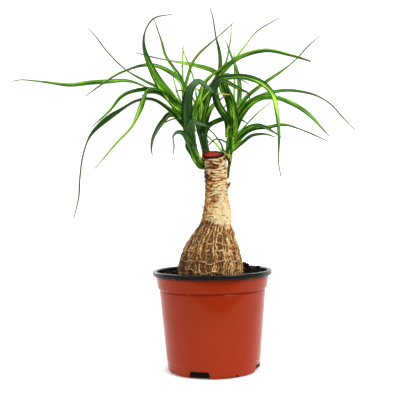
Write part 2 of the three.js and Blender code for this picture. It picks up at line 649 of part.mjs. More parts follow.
function leafBlade(leaf, stem) {
  const root = stemAt(stem, leaf.from);
  const scale = (root.y - EYE.y) / -EYE.y;
  const rootX = EYE.x + (root.x - EYE.x) / scale;
  const rootZ = EYE.z + (root.z - EYE.z) / scale;
  const outline = [[rootX, rootZ], ...leaf.path].map(([x, z]) => new THREE.Vector3(x, 0, z));
  const curve = new THREE.CatmullRomCurve3(outline);
  const shares = sharesAlong(curve);
  const depths = [root.y, ...leaf.depth];
  const spine = shares.map((share) => {
    const spot = curve.getPointAt(share);
    return seenAt(spot.x, spot.z, through(depths, share * (depths.length - 1)));
  });
  const rings = spine.slice(0, -1).map((spot, i) => {
    const share = shares[i];
    const along = new THREE.Vector3().subVectors(spine[i + 1], spine[Math.max(0, i - 1)]).normalize();
    const toEye = new THREE.Vector3().subVectors(EYE, spot).normalize();
    const across = new THREE.Vector3().crossVectors(along, toEye).normalize();
    const away = new THREE.Vector3().crossVectors(along, across);
    const turn = THREE.MathUtils.degToRad(through(leaf.turn, share * (leaf.turn.length - 1)));
    const edge = across.multiplyScalar(Math.cos(turn)).addScaledVector(away, Math.sin(turn));
    const face = new THREE.Vector3().crossVectors(edge, along);
    const width = widthAt(leaf, share);
    const thick = BLADE_THICKNESS * (1 - 0.4 * share);
    const place = (w, n) => spot.clone().addScaledVector(edge, w).addScaledVector(face, n);
    const lift = CHANNEL_DEPTH * width;
    return [place(width / 2, lift), place(0, thick / 2), place(-width / 2, lift), place(0, -thick / 2)];
  });
  return loft(rings, undefined, spine.at(-1));
}

function shoot(side) {
  const stem = STEMS[side];
  const blades = LEAVES[side].map((leaf) => leafBlade(leaf, stem));
  return solidThrough(joined([rod(stem, STEM_SIDES), ...blades]));
}

const plant = new THREE.Group();
plant.add(piece("nursery_pot", toGeometry(nurseryPot()), 0xb8412a, 0.38));
plant.add(piece("potting_soil", toGeometry(pottingSoil()), 0x2a1a10, 0.95));
plant.add(piece("caudex_trunk", toGeometry(caudexTrunk()), 0xb98a55, 0.9));
plant.add(piece("wax_seal", toGeometry(waxSeal()), 0xa0352a, 0.45));
plant.add(piece("shoot_left", toGeometry(shoot("left")), 0x3f7a1e, 0.5));
plant.add(piece("shoot_centre", toGeometry(shoot("centre")), 0x356b22, 0.5));
plant.add(piece("shoot_right", toGeometry(shoot("right")), 0x458a24, 0.5));

export default plant;
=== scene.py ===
"""Potted ponytail palm: a moulded nursery pot of soil, a netted caudex with a wax-sealed cut, and three
leafy shoots. Shapes are worked out in millimetres, and the finished meshes are in metres."""

import math
from functools import partial

import bmesh
import bpy
import numpy as np
from mathutils import Matrix, Vector


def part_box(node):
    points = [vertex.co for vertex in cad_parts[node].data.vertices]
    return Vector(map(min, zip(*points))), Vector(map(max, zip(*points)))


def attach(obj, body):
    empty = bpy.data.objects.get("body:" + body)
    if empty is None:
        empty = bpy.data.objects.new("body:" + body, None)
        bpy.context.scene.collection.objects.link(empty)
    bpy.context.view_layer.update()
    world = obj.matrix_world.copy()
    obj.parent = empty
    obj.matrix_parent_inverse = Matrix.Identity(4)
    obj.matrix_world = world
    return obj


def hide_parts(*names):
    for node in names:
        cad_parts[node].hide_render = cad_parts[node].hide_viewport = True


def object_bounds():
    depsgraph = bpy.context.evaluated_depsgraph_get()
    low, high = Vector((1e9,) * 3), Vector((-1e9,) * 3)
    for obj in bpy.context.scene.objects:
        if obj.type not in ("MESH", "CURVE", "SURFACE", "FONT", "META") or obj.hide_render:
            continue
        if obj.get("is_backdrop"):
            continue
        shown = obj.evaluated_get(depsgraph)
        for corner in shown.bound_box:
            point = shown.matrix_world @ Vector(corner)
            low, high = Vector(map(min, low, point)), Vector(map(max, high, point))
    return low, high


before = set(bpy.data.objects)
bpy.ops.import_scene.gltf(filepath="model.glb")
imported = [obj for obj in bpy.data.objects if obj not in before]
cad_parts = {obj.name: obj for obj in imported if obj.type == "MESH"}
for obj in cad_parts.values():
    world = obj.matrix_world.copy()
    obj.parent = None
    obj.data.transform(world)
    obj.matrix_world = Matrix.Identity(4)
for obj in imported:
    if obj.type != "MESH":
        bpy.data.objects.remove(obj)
CAD_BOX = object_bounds()

bl_info = {
    "name": "Potted ponytail palm",
    "version": (1, 0, 0),
    "blender": (4, 5, 0),
    "location": "3D View > Sidebar > Palm",
    "description": "Builds a ponytail palm in a nursery pot, piece by piece",
    "category": "Add Mesh",
}

MM = 0.001
POT_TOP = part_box("nursery_pot")[1]
RIM_RADIUS = POT_TOP[0] / MM
POT_HEIGHT = POT_TOP[2] / MM


def linear(code):
    """An sRGB hex colour as linear red, green, blue and alpha."""
    parts = [int(code[k : k + 2], 16) / 255 for k in (1, 3, 5)]
    return (*(p / 12.92 if p <= 0.04045 else ((p + 0.055) / 1.055) ** 2.4 for p in parts), 1.0)


def colour(name, code, description):
    """A colour the user can change, with its sRGB hex default."""
    return bpy.props.FloatVectorProperty(
        name=name, description=description, subtype="COLOR", size=4, min=0, max=1, default=linear(code)
    )


def number(name, default, description, **kind):
    """A number that the user can change, from 0 up unless its kind says another least value."""
    return bpy.props.FloatProperty(name=name, description=description, default=default, **{"min": 0, **kind})


def length(name, millimetres, description):
    """A length the user can change, with its default in millimetres."""
    return number(name, millimetres * MM, description, unit="LENGTH")


# Numbers and noise

NOISE_CELLS = 256


def smooth(low, high, value):
    """Rises from 0 at low to 1 at high along the curve t * t * (3 - 2 * t)."""
    t = np.clip((value - low) / (high - low), 0, 1)
    return t * t * (3 - 2 * t)


def bell(distance, width=1, power=2):
    """1 at distance 0, falling on both sides as e to the power of minus (distance / width) ** power."""
    return np.exp(-((distance / width) ** power))


def noise(x, y, seed, wrap=NOISE_CELLS):
    """Random heights between 0 and 1 at whole numbers of x and y, blended smoothly between them. The
    pattern repeats along x after wrap steps."""
    table = np.random.default_rng(seed).random((NOISE_CELLS, NOISE_CELLS))
    i, j = np.floor(x).astype(int), np.floor(y).astype(int)
    u, v = smooth(0, 1, x - i), smooth(0, 1, y - j)
    corner = lambda a, b: table[(i + a) % wrap, (j + b) % NOISE_CELLS]
    low = corner(0, 0) * (1 - u) + corner(1, 0) * u
    high = corner(0, 1) * (1 - u) + corner(1, 1) * u
    return low * (1 - v) + high * v


def through(values, steps):
    """The smooth curve through values[0], values[1], ... at whole steps: cubic pieces whose slope at each
    value is half the rise between its neighbours."""
    values = np.asarray(values, float)
    last = len(values) - 1
    i = np.clip(np.floor(steps).astype(int), 0, last - 1)
    t = np.clip(steps - i, 0, 1)
    at = lambda k: values[np.clip(k, 0, last)]
    slope_in, slope_out = (at(i + 1) - at(i - 1)) / 2, (at(i + 2) - at(i)) / 2
    return (
        (2 * t**3 - 3 * t**2 + 1) * at(i)
        + (t**3 - 2 * t**2 + t) * slope_in
        + (3 * t**2 - 2 * t**3) * at(i + 1)
        + (t**3 - t**2) * slope_out
    )


def along_path(points, shares, steps=40):
    """Spots at shares of the length of the centripetal cubic curve through the points: each piece's knots
    are spaced by the square root of the distance between its ends. Steps is how finely it is measured."""
    points = np.asarray(points, float)
    padded = np.vstack([2 * points[0] - points[1], points, 2 * points[-1] - points[-2]])
    t = np.linspace(0, len(points) - 1, steps * len(points))
    i = np.minimum(t.astype(int), len(points) - 2)
    w = (t - i)[:, None]
    p0, p1, p2, p3 = (padded[i + k] for k in range(4))
    gap = lambda a, b: np.sqrt(np.linalg.norm(b - a, axis=1))[:, None]
    d0, d1, d2 = gap(p0, p1), gap(p1, p2), gap(p2, p3)
    start = ((p1 - p0) / d0 - (p2 - p0) / (d0 + d1) + (p2 - p1) / d1) * d1
    end = ((p2 - p1) / d1 - (p3 - p1) / (d1 + d2) + (p3 - p2) / d2) * d1
    curve = p1 + start * w + (3 * (p2 - p1) - 2 * start - end) * w**2 + (2 * (p1 - p2) + start + end) * w**3
    run = np.concatenate([[0], np.cumsum(np.linalg.norm(np.diff(curve, axis=0), axis=1))])
    return np.stack([np.interp(shares * run[-1], run, curve[:, k]) for k in range(points.shape[1])], axis=-1)


def unit(vectors):
    """The vectors scaled to length 1."""
    return vectors / np.linalg.norm(vectors, axis=-1, keepdims=True)


def circle(count):
    """Evenly spaced angles of a full turn, and the directions they point in."""
    turn = np.linspace(0, math.tau, count, endpoint=False)
    return turn, np.stack([np.cos(turn), np.sin(turn)], axis=-1)


def away(angle, middle):
    """Turn from a middle angle, between minus and plus half a turn."""
    return (angle - middle + np.pi) % math.tau - np.pi


# Meshes


def grid_faces(rows, columns, start=0):
    """Quads between neighbouring rings of points, whose last spot joins the first."""
    i, j = np.meshgrid(np.arange(rows - 1), np.arange(columns), indexing="ij")
    a, b = i * columns + j, i * columns + (j + 1) % columns
    return (np.stack([a, b, b + columns, a + columns], axis=-1) + start).reshape(-1, 4)


def lathe(line, spin):
    """Rings of points for rows of radius and height, turned round the pot's axis."""
    flat = line[:, None, :1] * spin
    return np.concatenate([flat, np.broadcast_to(line[:, 1, None, None], (*flat.shape[:2], 1))], axis=-1)


class Shell:
    """Closed surfaces gathered for one mesh, with a number of each named kind at every point."""

    def __init__(self):
        self.points, self.faces, self.caps, self.marks, self.count = [], [], [], {}, 0

    def add(self, grid, **marks):
        """Adds a tube of rings, grid[ring, spot, xyz], closed by a flat face at each end."""
        rows, columns = grid.shape[:2]
        rings = self.count + np.arange(rows * columns).reshape(rows, columns)
        self.faces.append(grid_faces(rows, columns, self.count))
        self.caps += [rings[0, ::-1].tolist(), rings[-1].tolist()]
        self.points.append(grid.reshape(-1, 3))
        for name in sorted(set(marks) | set(self.marks)):
            value = np.broadcast_to(marks.get(name, 0.0), (rows, columns)).ravel()
            self.marks.setdefault(name, [np.zeros(self.count)]).append(value)
        self.count += rows * columns


def add_piece(name, shell, materials, replaced=(), smooth_angle=180, face_material=None):
    """Makes the object of a shell, in metres, and puts it on the frame."""
    mesh = bpy.data.meshes.new(name)
    quads = np.concatenate(shell.faces).tolist()
    mesh.from_pydata((np.concatenate(shell.points) * MM).tolist(), [], quads + shell.caps)
    for mark, parts in shell.marks.items():
        layer = mesh.attributes.new(mark, "FLOAT", "POINT")
        layer.data.foreach_set("value", np.concatenate(parts).astype(np.float32))
    for material in materials:
        mesh.materials.append(material)
    if face_material is not None:
        mesh.polygons.foreach_set("material_index", face_material.astype(np.int32))
    build = bmesh.new()
    build.from_mesh(mesh)
    bmesh.ops.recalc_face_normals(build, faces=build.faces)
    build.to_mesh(mesh)
    build.free()
    mesh.polygons.foreach_set("use_smooth", np.ones(len(mesh.polygons), bool))
    if smooth_angle < 180:
        mesh.set_sharp_from_angle(angle=math.radians(smooth_angle))
    piece = bpy.data.objects.new(name, mesh)
    bpy.context.scene.collection.objects.link(piece)
    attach(piece, "root")
    if replaced:
        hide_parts(*replaced)
    return piece


# Materials

# The settings of a node that blends two colours, or multiplies one by the other
BLENDED = {"data_type": "RGBA"}
MULTIPLIED = {"data_type": "RGBA", "blend_type": "MULTIPLY"}


def add_node(tree, kind, *inputs, output=None, **entries):
    """Adds one shader node and returns its named output, or else the first in use. An entry names a
    property, an input (with _ for a space) or the stops of a colour ramp, and the other values go to the
    inputs in use, in order. An input takes a number, an sRGB hex colour or an output to link."""
    made = tree.nodes.new(f"ShaderNode{kind}")
    paint = lambda value: linear(value) if isinstance(value, str) else value
    named = []
    for key, value in entries.items():
        if key == "stops":
            points = made.color_ramp.elements
            while len(points) < len(value):
                points.new(0.5)
            for point, (place, shade) in zip(points, value):
                point.position, point.color = place, paint(shade)
        elif hasattr(made, key):
            setattr(made, key, value)
        else:
            named.append((key.replace("_", " "), value))
    listed = zip([socket for socket in made.inputs if socket.enabled], inputs)
    for socket, value in [*listed, *((made.inputs[key], value) for key, value in named)]:
        if isinstance(value, bpy.types.NodeSocket):
            tree.links.new(value, socket)
        else:
            socket.default_value = paint(value)
    return made.outputs[output] if output else next((one for one in made.outputs if one.enabled), None)


def new_material(name):
    """An empty node material, and the function that adds a node to it."""
    material = bpy.data.materials.new(name)
    material.use_nodes = True
    material.node_tree.nodes.clear()
    return material, partial(add_node, material.node_tree)


# Nursery pot

# Outside radii and heights of the pot's steps, then its wall, its openings and how finely it is drawn
RIM_DEPTH = 6
COLLAR_TOP, COLLAR_FOOT, COLLAR_FOOT_HEIGHT = 78.2, 76, 112.8
BODY_TOP, BODY_FOOT = 73.6, 65.4
FOOT_HEIGHT, FOOT_TOP, FOOT, FLAT, BASE_MIDDLE = 15, 64.9, 63.6, 61.6, 46
WALL, FLOOR = 1.8, 2.4
DRAIN_WIDTH, DRAIN_HEIGHT, DRAIN_ANGLE = 28, 9.6, -17.5
SLOT_WIDTH, SLOT_HEIGHT, SLOT_ANGLE = 5.5, 4.2, 28
CUTTER_REACH = 54, 70
POT_SPOTS, POT_SHARP_ANGLE = 240, 38


class PotSettings(bpy.types.PropertyGroup):
    """Sizes and colours of the nursery pot."""

    edge: length("Edge rounding", 0.45, "Radius of the moulded edges")
    body_colour: colour("Body colour", "#97280A", "Colour of the outside below the rim")
    rim_colour: colour("Rim colour", "#08090A", "Colour of the rim and the inside")


def pot_profile():
    """Outside from the underside up to the rim, then the inside back down, as radius and height."""
    rim_foot = POT_HEIGHT - RIM_DEPTH
    outside = [
        (BASE_MIDDLE, 0), (FLAT, 0), (FOOT, 1.8), (FOOT_TOP, FOOT_HEIGHT - 0.8),
        (BODY_FOOT, FOOT_HEIGHT + 0.8), (BODY_TOP, COLLAR_FOOT_HEIGHT - 4),
        (BODY_TOP - 0.9, COLLAR_FOOT_HEIGHT - 2.6), (BODY_TOP - 0.9, COLLAR_FOOT_HEIGHT - 0.9),
        (COLLAR_FOOT - 0.4, COLLAR_FOOT_HEIGHT - 0.4), (COLLAR_FOOT, COLLAR_FOOT_HEIGHT + 0.4),
        (COLLAR_TOP, rim_foot - 1.6), (COLLAR_TOP - 0.5, rim_foot - 0.8),
    ]
    inside = [
        (COLLAR_TOP - 0.5, rim_foot), (RIM_RADIUS - 0.7, rim_foot - 0.2), (RIM_RADIUS, rim_foot + 0.3),
        (RIM_RADIUS - 0.3, POT_HEIGHT - 0.9), (RIM_RADIUS - 0.9, POT_HEIGHT), (COLLAR_TOP - 0.4, POT_HEIGHT),
        (COLLAR_TOP - WALL, POT_HEIGHT - 1.0), (COLLAR_TOP - WALL - 0.1, rim_foot - 1),
        (COLLAR_FOOT - WALL, COLLAR_FOOT_HEIGHT + 1), (BODY_TOP - WALL, COLLAR_FOOT_HEIGHT),
        (BODY_FOOT - WALL, FOOT_HEIGHT + 1.2), (FOOT_TOP - WALL, FOOT_HEIGHT), (FOOT - WALL, FLOOR),
        (BASE_MIDDLE, FLOOR),
    ]
    return np.array(outside + inside, float), len(outside)


def rounded(profile, radius, steps=4, longest=6):
    """Each corner of a line replaced by a quadratic curve that leaves its edges a radius from the corner,
    and each edge cut into pieces no longer than the longest. Returns the points and the corner each
    belongs to."""
    points, owners = [profile[:1]], [np.zeros(1, int)]
    t = np.linspace(0, 1, steps + 1)[:, None]
    for k in range(1, len(profile) - 1):
        before, corner, after = profile[k - 1 : k + 2]
        reach = min(radius, 0.45 * np.linalg.norm(corner - before), 0.45 * np.linalg.norm(after - corner))
        start = corner + unit(before - corner) * reach
        end = corner + unit(after - corner) * reach
        gap = np.linalg.norm(start - points[-1][-1])
        run = np.linspace(0, 1, int(gap / longest) + 2)[1:-1, None]
        points.append(points[-1][-1] * (1 - run) + start * run)
        points.append((1 - t) ** 2 * start + 2 * t * (1 - t) * corner + t**2 * end)
        owners += [np.full(len(run), k), np.full(steps + 1, k)]
    points.append(profile[-1:])
    owners.append(np.full(1, len(profile) - 1))
    return np.concatenate(points), np.concatenate(owners)


def drain_cutters():
    """Prisms that open the wall's foot: a flat drain and a small pointed slot in every quarter. Each is an
    outline across the wall, carried outwards from the floor."""
    half, side = DRAIN_WIDTH / 2, SLOT_WIDTH / 2
    drain = [(-half - 2.5, -2), (half + 2.5, -2), (half - 2, DRAIN_HEIGHT), (2 - half, DRAIN_HEIGHT)]
    slot = [(-side, -2), (side, -2), (side, SLOT_HEIGHT / 2), (0, SLOT_HEIGHT), (-side, SLOT_HEIGHT / 2)]
    shell = Shell()
    for quarter in range(4):
        for outline, degrees in ((drain, DRAIN_ANGLE), (slot, SLOT_ANGLE)):
            turn = math.radians(degrees + 90 * quarter)
            out = np.array([math.sin(turn), -math.cos(turn), 0])
            along = np.array([math.cos(turn), math.sin(turn), 0])
            outline = np.array(outline, float)
            ring = outline[:, :1] * along + outline[:, 1:] * np.array([0, 0, 1.0])
            shell.add(np.stack([ring + out * reach for reach in CUTTER_REACH]))
    return shell


class PALM_OT_pot(bpy.types.Operator):
    """Build the moulded nursery pot with its rim, collar, foot and drain openings"""

    bl_idname = "palm.pot"
    bl_label = "Nursery pot"

    def execute(self, context):
        settings = context.scene.palm_pot
        profile, corners = pot_profile()
        line, owners = rounded(profile, settings.edge / MM)
        shell = Shell()
        shell.add(lathe(line, circle(POT_SPOTS)[1]))
        rows = np.repeat((owners[1:] >= corners).astype(int), POT_SPOTS)
        pot = add_piece(
            "moulded_pot", shell, [moulded_polypropylene(settings), black_polypropylene(settings)],
            ["nursery_pot"], face_material=np.concatenate([rows, [0, 1]]),
        )
        cutter = add_piece("drain_cutter", drain_cutters(), [])
        cut = pot.modifiers.new("drains", "BOOLEAN")
        cut.operation, cut.solver, cut.object = "DIFFERENCE", "EXACT", cutter
        opened = bpy.data.meshes.new_from_object(pot.evaluated_get(context.evaluated_depsgraph_get()))
        pot.modifiers.clear()
        pot.data = opened
        opened.name = "moulded_pot"
        opened.set_sharp_from_angle(angle=math.radians(POT_SHARP_ANGLE))
        bpy.data.objects.remove(cutter)
        return {"FINISHED"}


def moulded_polypropylene(settings):
    """Injection-moulded polypropylene: an even terracotta red with a soft gloss that the pigment warms,
    faint flow clouds and a very slight orange peel."""
    material, node = new_material("moulded_polypropylene")
    place = node("TexCoord", output="Object")
    clouds = node("TexNoise", place, Scale=28, Detail=3, Roughness=0.55)
    deep = (*(0.95 * part for part in settings.body_colour[:3]), 1)
    tone = node("ValToRGB", clouds, stops=[(0.3, deep), (0.7, settings.body_colour)])
    worn = node("MapRange", clouds, To_Min=0.09, To_Max=0.12)
    peel = node("TexNoise", place, Scale=420, Detail=2)
    bump = node("Bump", Strength=0.05, Distance=0.0004, Height=peel)
    plastic = node("BsdfPrincipled", tone, Roughness=worn, IOR=1.27, Specular_Tint="#FFE8C2", Normal=bump)
    node("OutputMaterial", plastic)
    return material


def black_polypropylene(settings):
    """The pot's inner layer, moulded with it: black polypropylene that shows on the rim and the inside,
    with a soft gloss and scuffs that scatter a little light."""
    material, node = new_material("black_polypropylene")
    scuffs = node("TexNoise", node("TexCoord", output="Object"), Scale=240, Detail=4, Roughness=0.7)
    tone = node("ValToRGB", scuffs, stops=[(0.5, settings.rim_colour), (0.8, "#2A2C2E")])
    worn = node("MapRange", scuffs, To_Min=0.16, To_Max=0.34)
    node("OutputMaterial", node("BsdfPrincipled", tone, Roughness=worn, IOR=1.34))
    return material


# Trunk

# The trunk's outline seen from the front, as height, left side and right side
TRUNK_SIDES = np.array([
    (88, -22, 16), (96, -34, 28), (110, -43, 38), (136, -47.6, 42), (150, -45, 40.8), (163.5, -40.7, 38),
    (177, -33.4, 34.2), (188.5, -24.7, 31.5), (199.5, -16, 27.7), (209, -11.8, 27.2), (220, -9.4, 26),
    (233, -7.8, 24.5), (256, -7.4, 23.5), (275, -8.4, 22.9), (286, -9.6, 21.8), (300, -11.5, 20.5),
])
TRUNK_SPOTS, TRUNK_RINGS = 320, 262

# Heights of the tip and the few rings that the soil hides, and where the close rings and the slant begin
TRUNK_TIP, HIDDEN_RINGS, SHOWN_FROM, SLANT_FROM = 84, (88, 94, 101, 108, 114, 119), 123, 262
CUT_HEIGHT, CUT_TILT, CUT_ROLL, WAX_CENTRE_X = 293.8, 0.37, 0.04, 3.8

# The bud and the stray fibre as rows of x, y, height and radius, and the roots as direction and drop
BUD = [
    (19, -3, 248, 1.9), (22.5, -3, 250, 2.4), (25.2, -3, 252.8, 2.3), (26.6, -3, 255.6, 1.6),
    (27, -3, 258, 0.5),
]
FIBRE = [(-8, -4, 221, 0.5), (-12, -4, 223, 0.6), (-14, -4, 226.5, 0.5), (-13.6, -4, 229.5, 0.3)]
ROOTS = [(20, 0), (110, 6), (195, 0), (290, 6)]

# The net: its cords, the cells of the noise that pushes it about, and the ties' chance in each row upwards
CORDS, NET_CELLS, PUSH = 33, 44, 2.8
TIE_CHANCES, TIE_FOOT, TIE_STEP = (0.9, 0.95, 0.9, 0.8, 0.45, 0.3, 0.15), 125, 12.4

# Heights between which the trunk's relief and its smooth upper bark come in and the bark's step goes out
RELIEF_RISE, UPPER_RISE, STEP_FADE = (116, 132), (238, 256), (215, 250)

# The papery bark's marks: directions in degrees, heights in millimetres, and (height, spread) of bells
BARK_EDGE, BARK_TONGUE = 198, 197
# Painted light and shade: the lit side is painted paler. The side away from the light is painted darker, and
# this fades out between two heights.
FRONT, LIT_SIDE, SHADE_SIDE, SHADE_FADE = 262, -48, 205, (272, 262)
# Painted shade on the left: where the papery bark's left edge is darkened, then the side, height and spread
# of a darker patch on it. The patch's side also paints the caudex's left side darker.
SHADOW_SIDE, SHADOW_RISE, SHADOW_BELL = 184, (196, 206), (266, 12)
SHADE_PATCH_SIDE, SHADE_PATCH_HEIGHT, SHADE_PATCH_SPREAD = 194, 268.5, 7.5
SEAMS, SEAM_HEIGHT, SEAM_RISE, SEAM_FADE = ((225, 0.05), (-17, 0)), 210, (194, 199), (229, 223)
KNOT_SIDE, KNOT_HEIGHT, KNOT_RADIUS = 266, 234, 3
FOLD_HEIGHT, FOLD_SLOPE = 241, 0.22
BANDS = ((282.2, 1.1), (287, 1.3))
# Heights and spreads where the painted light on the lit side is strongest.
LIT_BELLS = ((245, 11), (211, 10))

# How many small cracks there are, and where they crowd and how far down they reach
SMALL_CRACKS, CRACK_TOP, CRACK_REACH = 85, 292, 86

# The cracks that stand out, as angle, height, half length, half thickness, slope and depth
CRACKS = [
    (249, 279, 11.5, 2.4, 0, 1), (245, 284.6, 9, 1.1, 0.03, 0.9), (286, 283.4, 1.9, 2, 0, 1),
    (318, 281, 3, 1.8, -0.5, 0.8), (252, 288.5, 5, 0.8, 0.2, 0.7), (262, 262.5, 6, 0.8, -0.1, 0.6),
]


class TrunkSettings(bpy.types.PropertyGroup):
    """Sizes and colours of the caudex and the upper trunk."""

    cord_height: length("Cord height", 2.1, "How far the net's cords stand out of the furrows")
    cord_width: length("Cord width", 1.25, "Half the width of a cord")
    bark_step: length("Bark step", 1.1, "Thickness of the papery bark above its ragged edge")
    furrow_colour: colour("Furrow colour", "#43230F", "Deepest brown between the cords")
    skin_colour: colour("Skin colour", "#BC8248", "Brown of the caudex skin")
    cord_colour: colour("Cord colour", "#FFE0A4", "Light corky tops of the cords")
    paper_colour: colour("Paper colour", "#FFF4C4", "Palest papery bark")
    tan_colour: colour("Tan colour", "#C98A42", "Older papery bark")


def trunk_at(height):
    """Centre and radius of the trunk at heights, through its measured left and right sides."""
    heights, left, right = TRUNK_SIDES.T
    step = np.interp(height, heights, np.arange(len(heights)))
    left, right = through(left, step), through(right, step)
    return (left + right) / 2, (right - left) / 2


def cut_height(x, y):
    """Height of the slanted cut above a spot."""
    return CUT_HEIGHT + CUT_TILT * y + CUT_ROLL * (x - WAX_CENTRE_X)


def lobes(angle, height):
    """Three and five soft lobes round the swollen foot."""
    swell = 1 - smooth(170, 215, height)
    return 1 + swell * (0.022 * np.cos(3 * angle + 0.6) + 0.014 * np.cos(5 * angle + 2.1))


def net(angle, height, radius, half_width):
    """Corky net of the caudex, from 0 in a furrow to 1 on a cord. Upright cords wander round the trunk,
    some of them doubled, and short ties join neighbours, thinning out upwards. A cord's section is a
    rounded bump of the distance to its line over its half width. Noise pushes the whole net about."""
    turn = angle * NET_CELLS / math.tau
    angle = angle + PUSH / radius * (noise(turn, height / 4.8, 14, NET_CELLS) - 0.5)
    height = height + PUSH * (noise(turn, height / 4.8, 15, NET_CELLS) - 0.5)
    rng = np.random.default_rng(11)
    draw = lambda low, high: rng.uniform(low, high, CORDS)
    jitter, lean, force = draw(-0.3, 0.3), draw(0, 6.3), draw(0.55, 1)
    doubled, gap = rng.random(CORDS) < 0.45, draw(3, 4.2)
    z = height[:, :1]
    wander = 0.03 * np.sin(z / 11 + lean) + 0.014 * np.sin(z / 3.9 + 2.7 * lean)
    lines = np.arange(CORDS)
    place = (lines + jitter) * 2 * np.pi / CORDS + wander
    around = (angle[..., None] - place[:, None, :]) % math.tau
    signed = np.where(around > np.pi, around - math.tau, around) * radius[..., None]
    broken = smooth(0.12, 0.3, noise(lines[None] * 3.7, z / 9, 12))[:, None, :]
    half_width = half_width * (0.65 + 0.7 * noise(angle * 40, height / 5, 13))
    bump = lambda distance, width: np.clip(1 - (distance / width) ** 2, 0, 1) ** 0.75
    cords = (bump(signed, half_width[..., None]) * force * broken).max(axis=-1)
    second = bump(signed - gap, 0.8 * half_width[..., None]) * doubled * smooth(182, 168, height)[..., None]
    cords = np.maximum(cords, (second * broken * 0.9).max(axis=-1))
    cell, nearest = around.argmin(axis=-1), around.min(axis=-1)
    share = nearest / (nearest + 2 * np.pi - around.max(axis=-1))
    ties = np.zeros_like(height)
    for row, chance in enumerate(TIE_CHANCES):
        level = TIE_FOOT + TIE_STEP * row + draw(-3.2, 3.2)
        there = (rng.random(CORDS) < chance) * draw(0.6, 1)
        bow = draw(-1.8, 1.8)
        line = level[cell] + bow[cell] * (1 - (2 * share - 1) ** 2)
        ties = np.maximum(ties, there[cell] * bump(height - line, 0.9 * half_width))
    return np.clip((cords**3 + ties**3) ** (1 / 3), 0, 1)


def lens(angle, height, radius, middle, level, half, thick, slope, phase):
    """One crack: 1 in its middle and 0 on the ellipse of its half length and half thickness, leaning by its
    slope and wavy along its middle."""
    across = away(angle, middle) * radius
    up = height - level - slope * across - 0.5 * np.sin(across / 2.1 + phase)
    return 1 - (across / half) ** 2 - (up / thick) ** 2


def large_cracks(angle, height, radius):
    """The cracks that stand out, from 0 to 1."""
    deepest = np.zeros_like(height)
    for degrees, level, half, thick, slope, force in CRACKS:
        crack = lens(angle, height, radius, np.radians(degrees), level, half, thick, slope, level)
        deepest = np.maximum(deepest, force * crack.clip(0, 1) ** 0.6)
    return deepest


def small_cracks(angle, height, radius):
    """Lens-shaped cracks across the papery bark, from 0 to 1, crowded towards the cut."""
    rng = np.random.default_rng(23)
    draw = lambda low, high: rng.uniform(low, high, SMALL_CRACKS)
    middle = draw(0, math.tau)
    level = CRACK_TOP - CRACK_REACH * rng.random(SMALL_CRACKS) ** 1.5
    half, thick, lean, force = draw(2.5, 7.5), draw(0.5, 1.15), draw(-0.25, 0.25), draw(0.45, 1)
    deepest = np.zeros_like(height)
    for k in range(SMALL_CRACKS):
        crack = lens(angle, height, radius, middle[k], level[k], half[k], thick[k], lean[k], k)
        deepest = np.maximum(deepest, force[k] * crack)
    return np.clip(deepest, 0, 1) ** 0.6


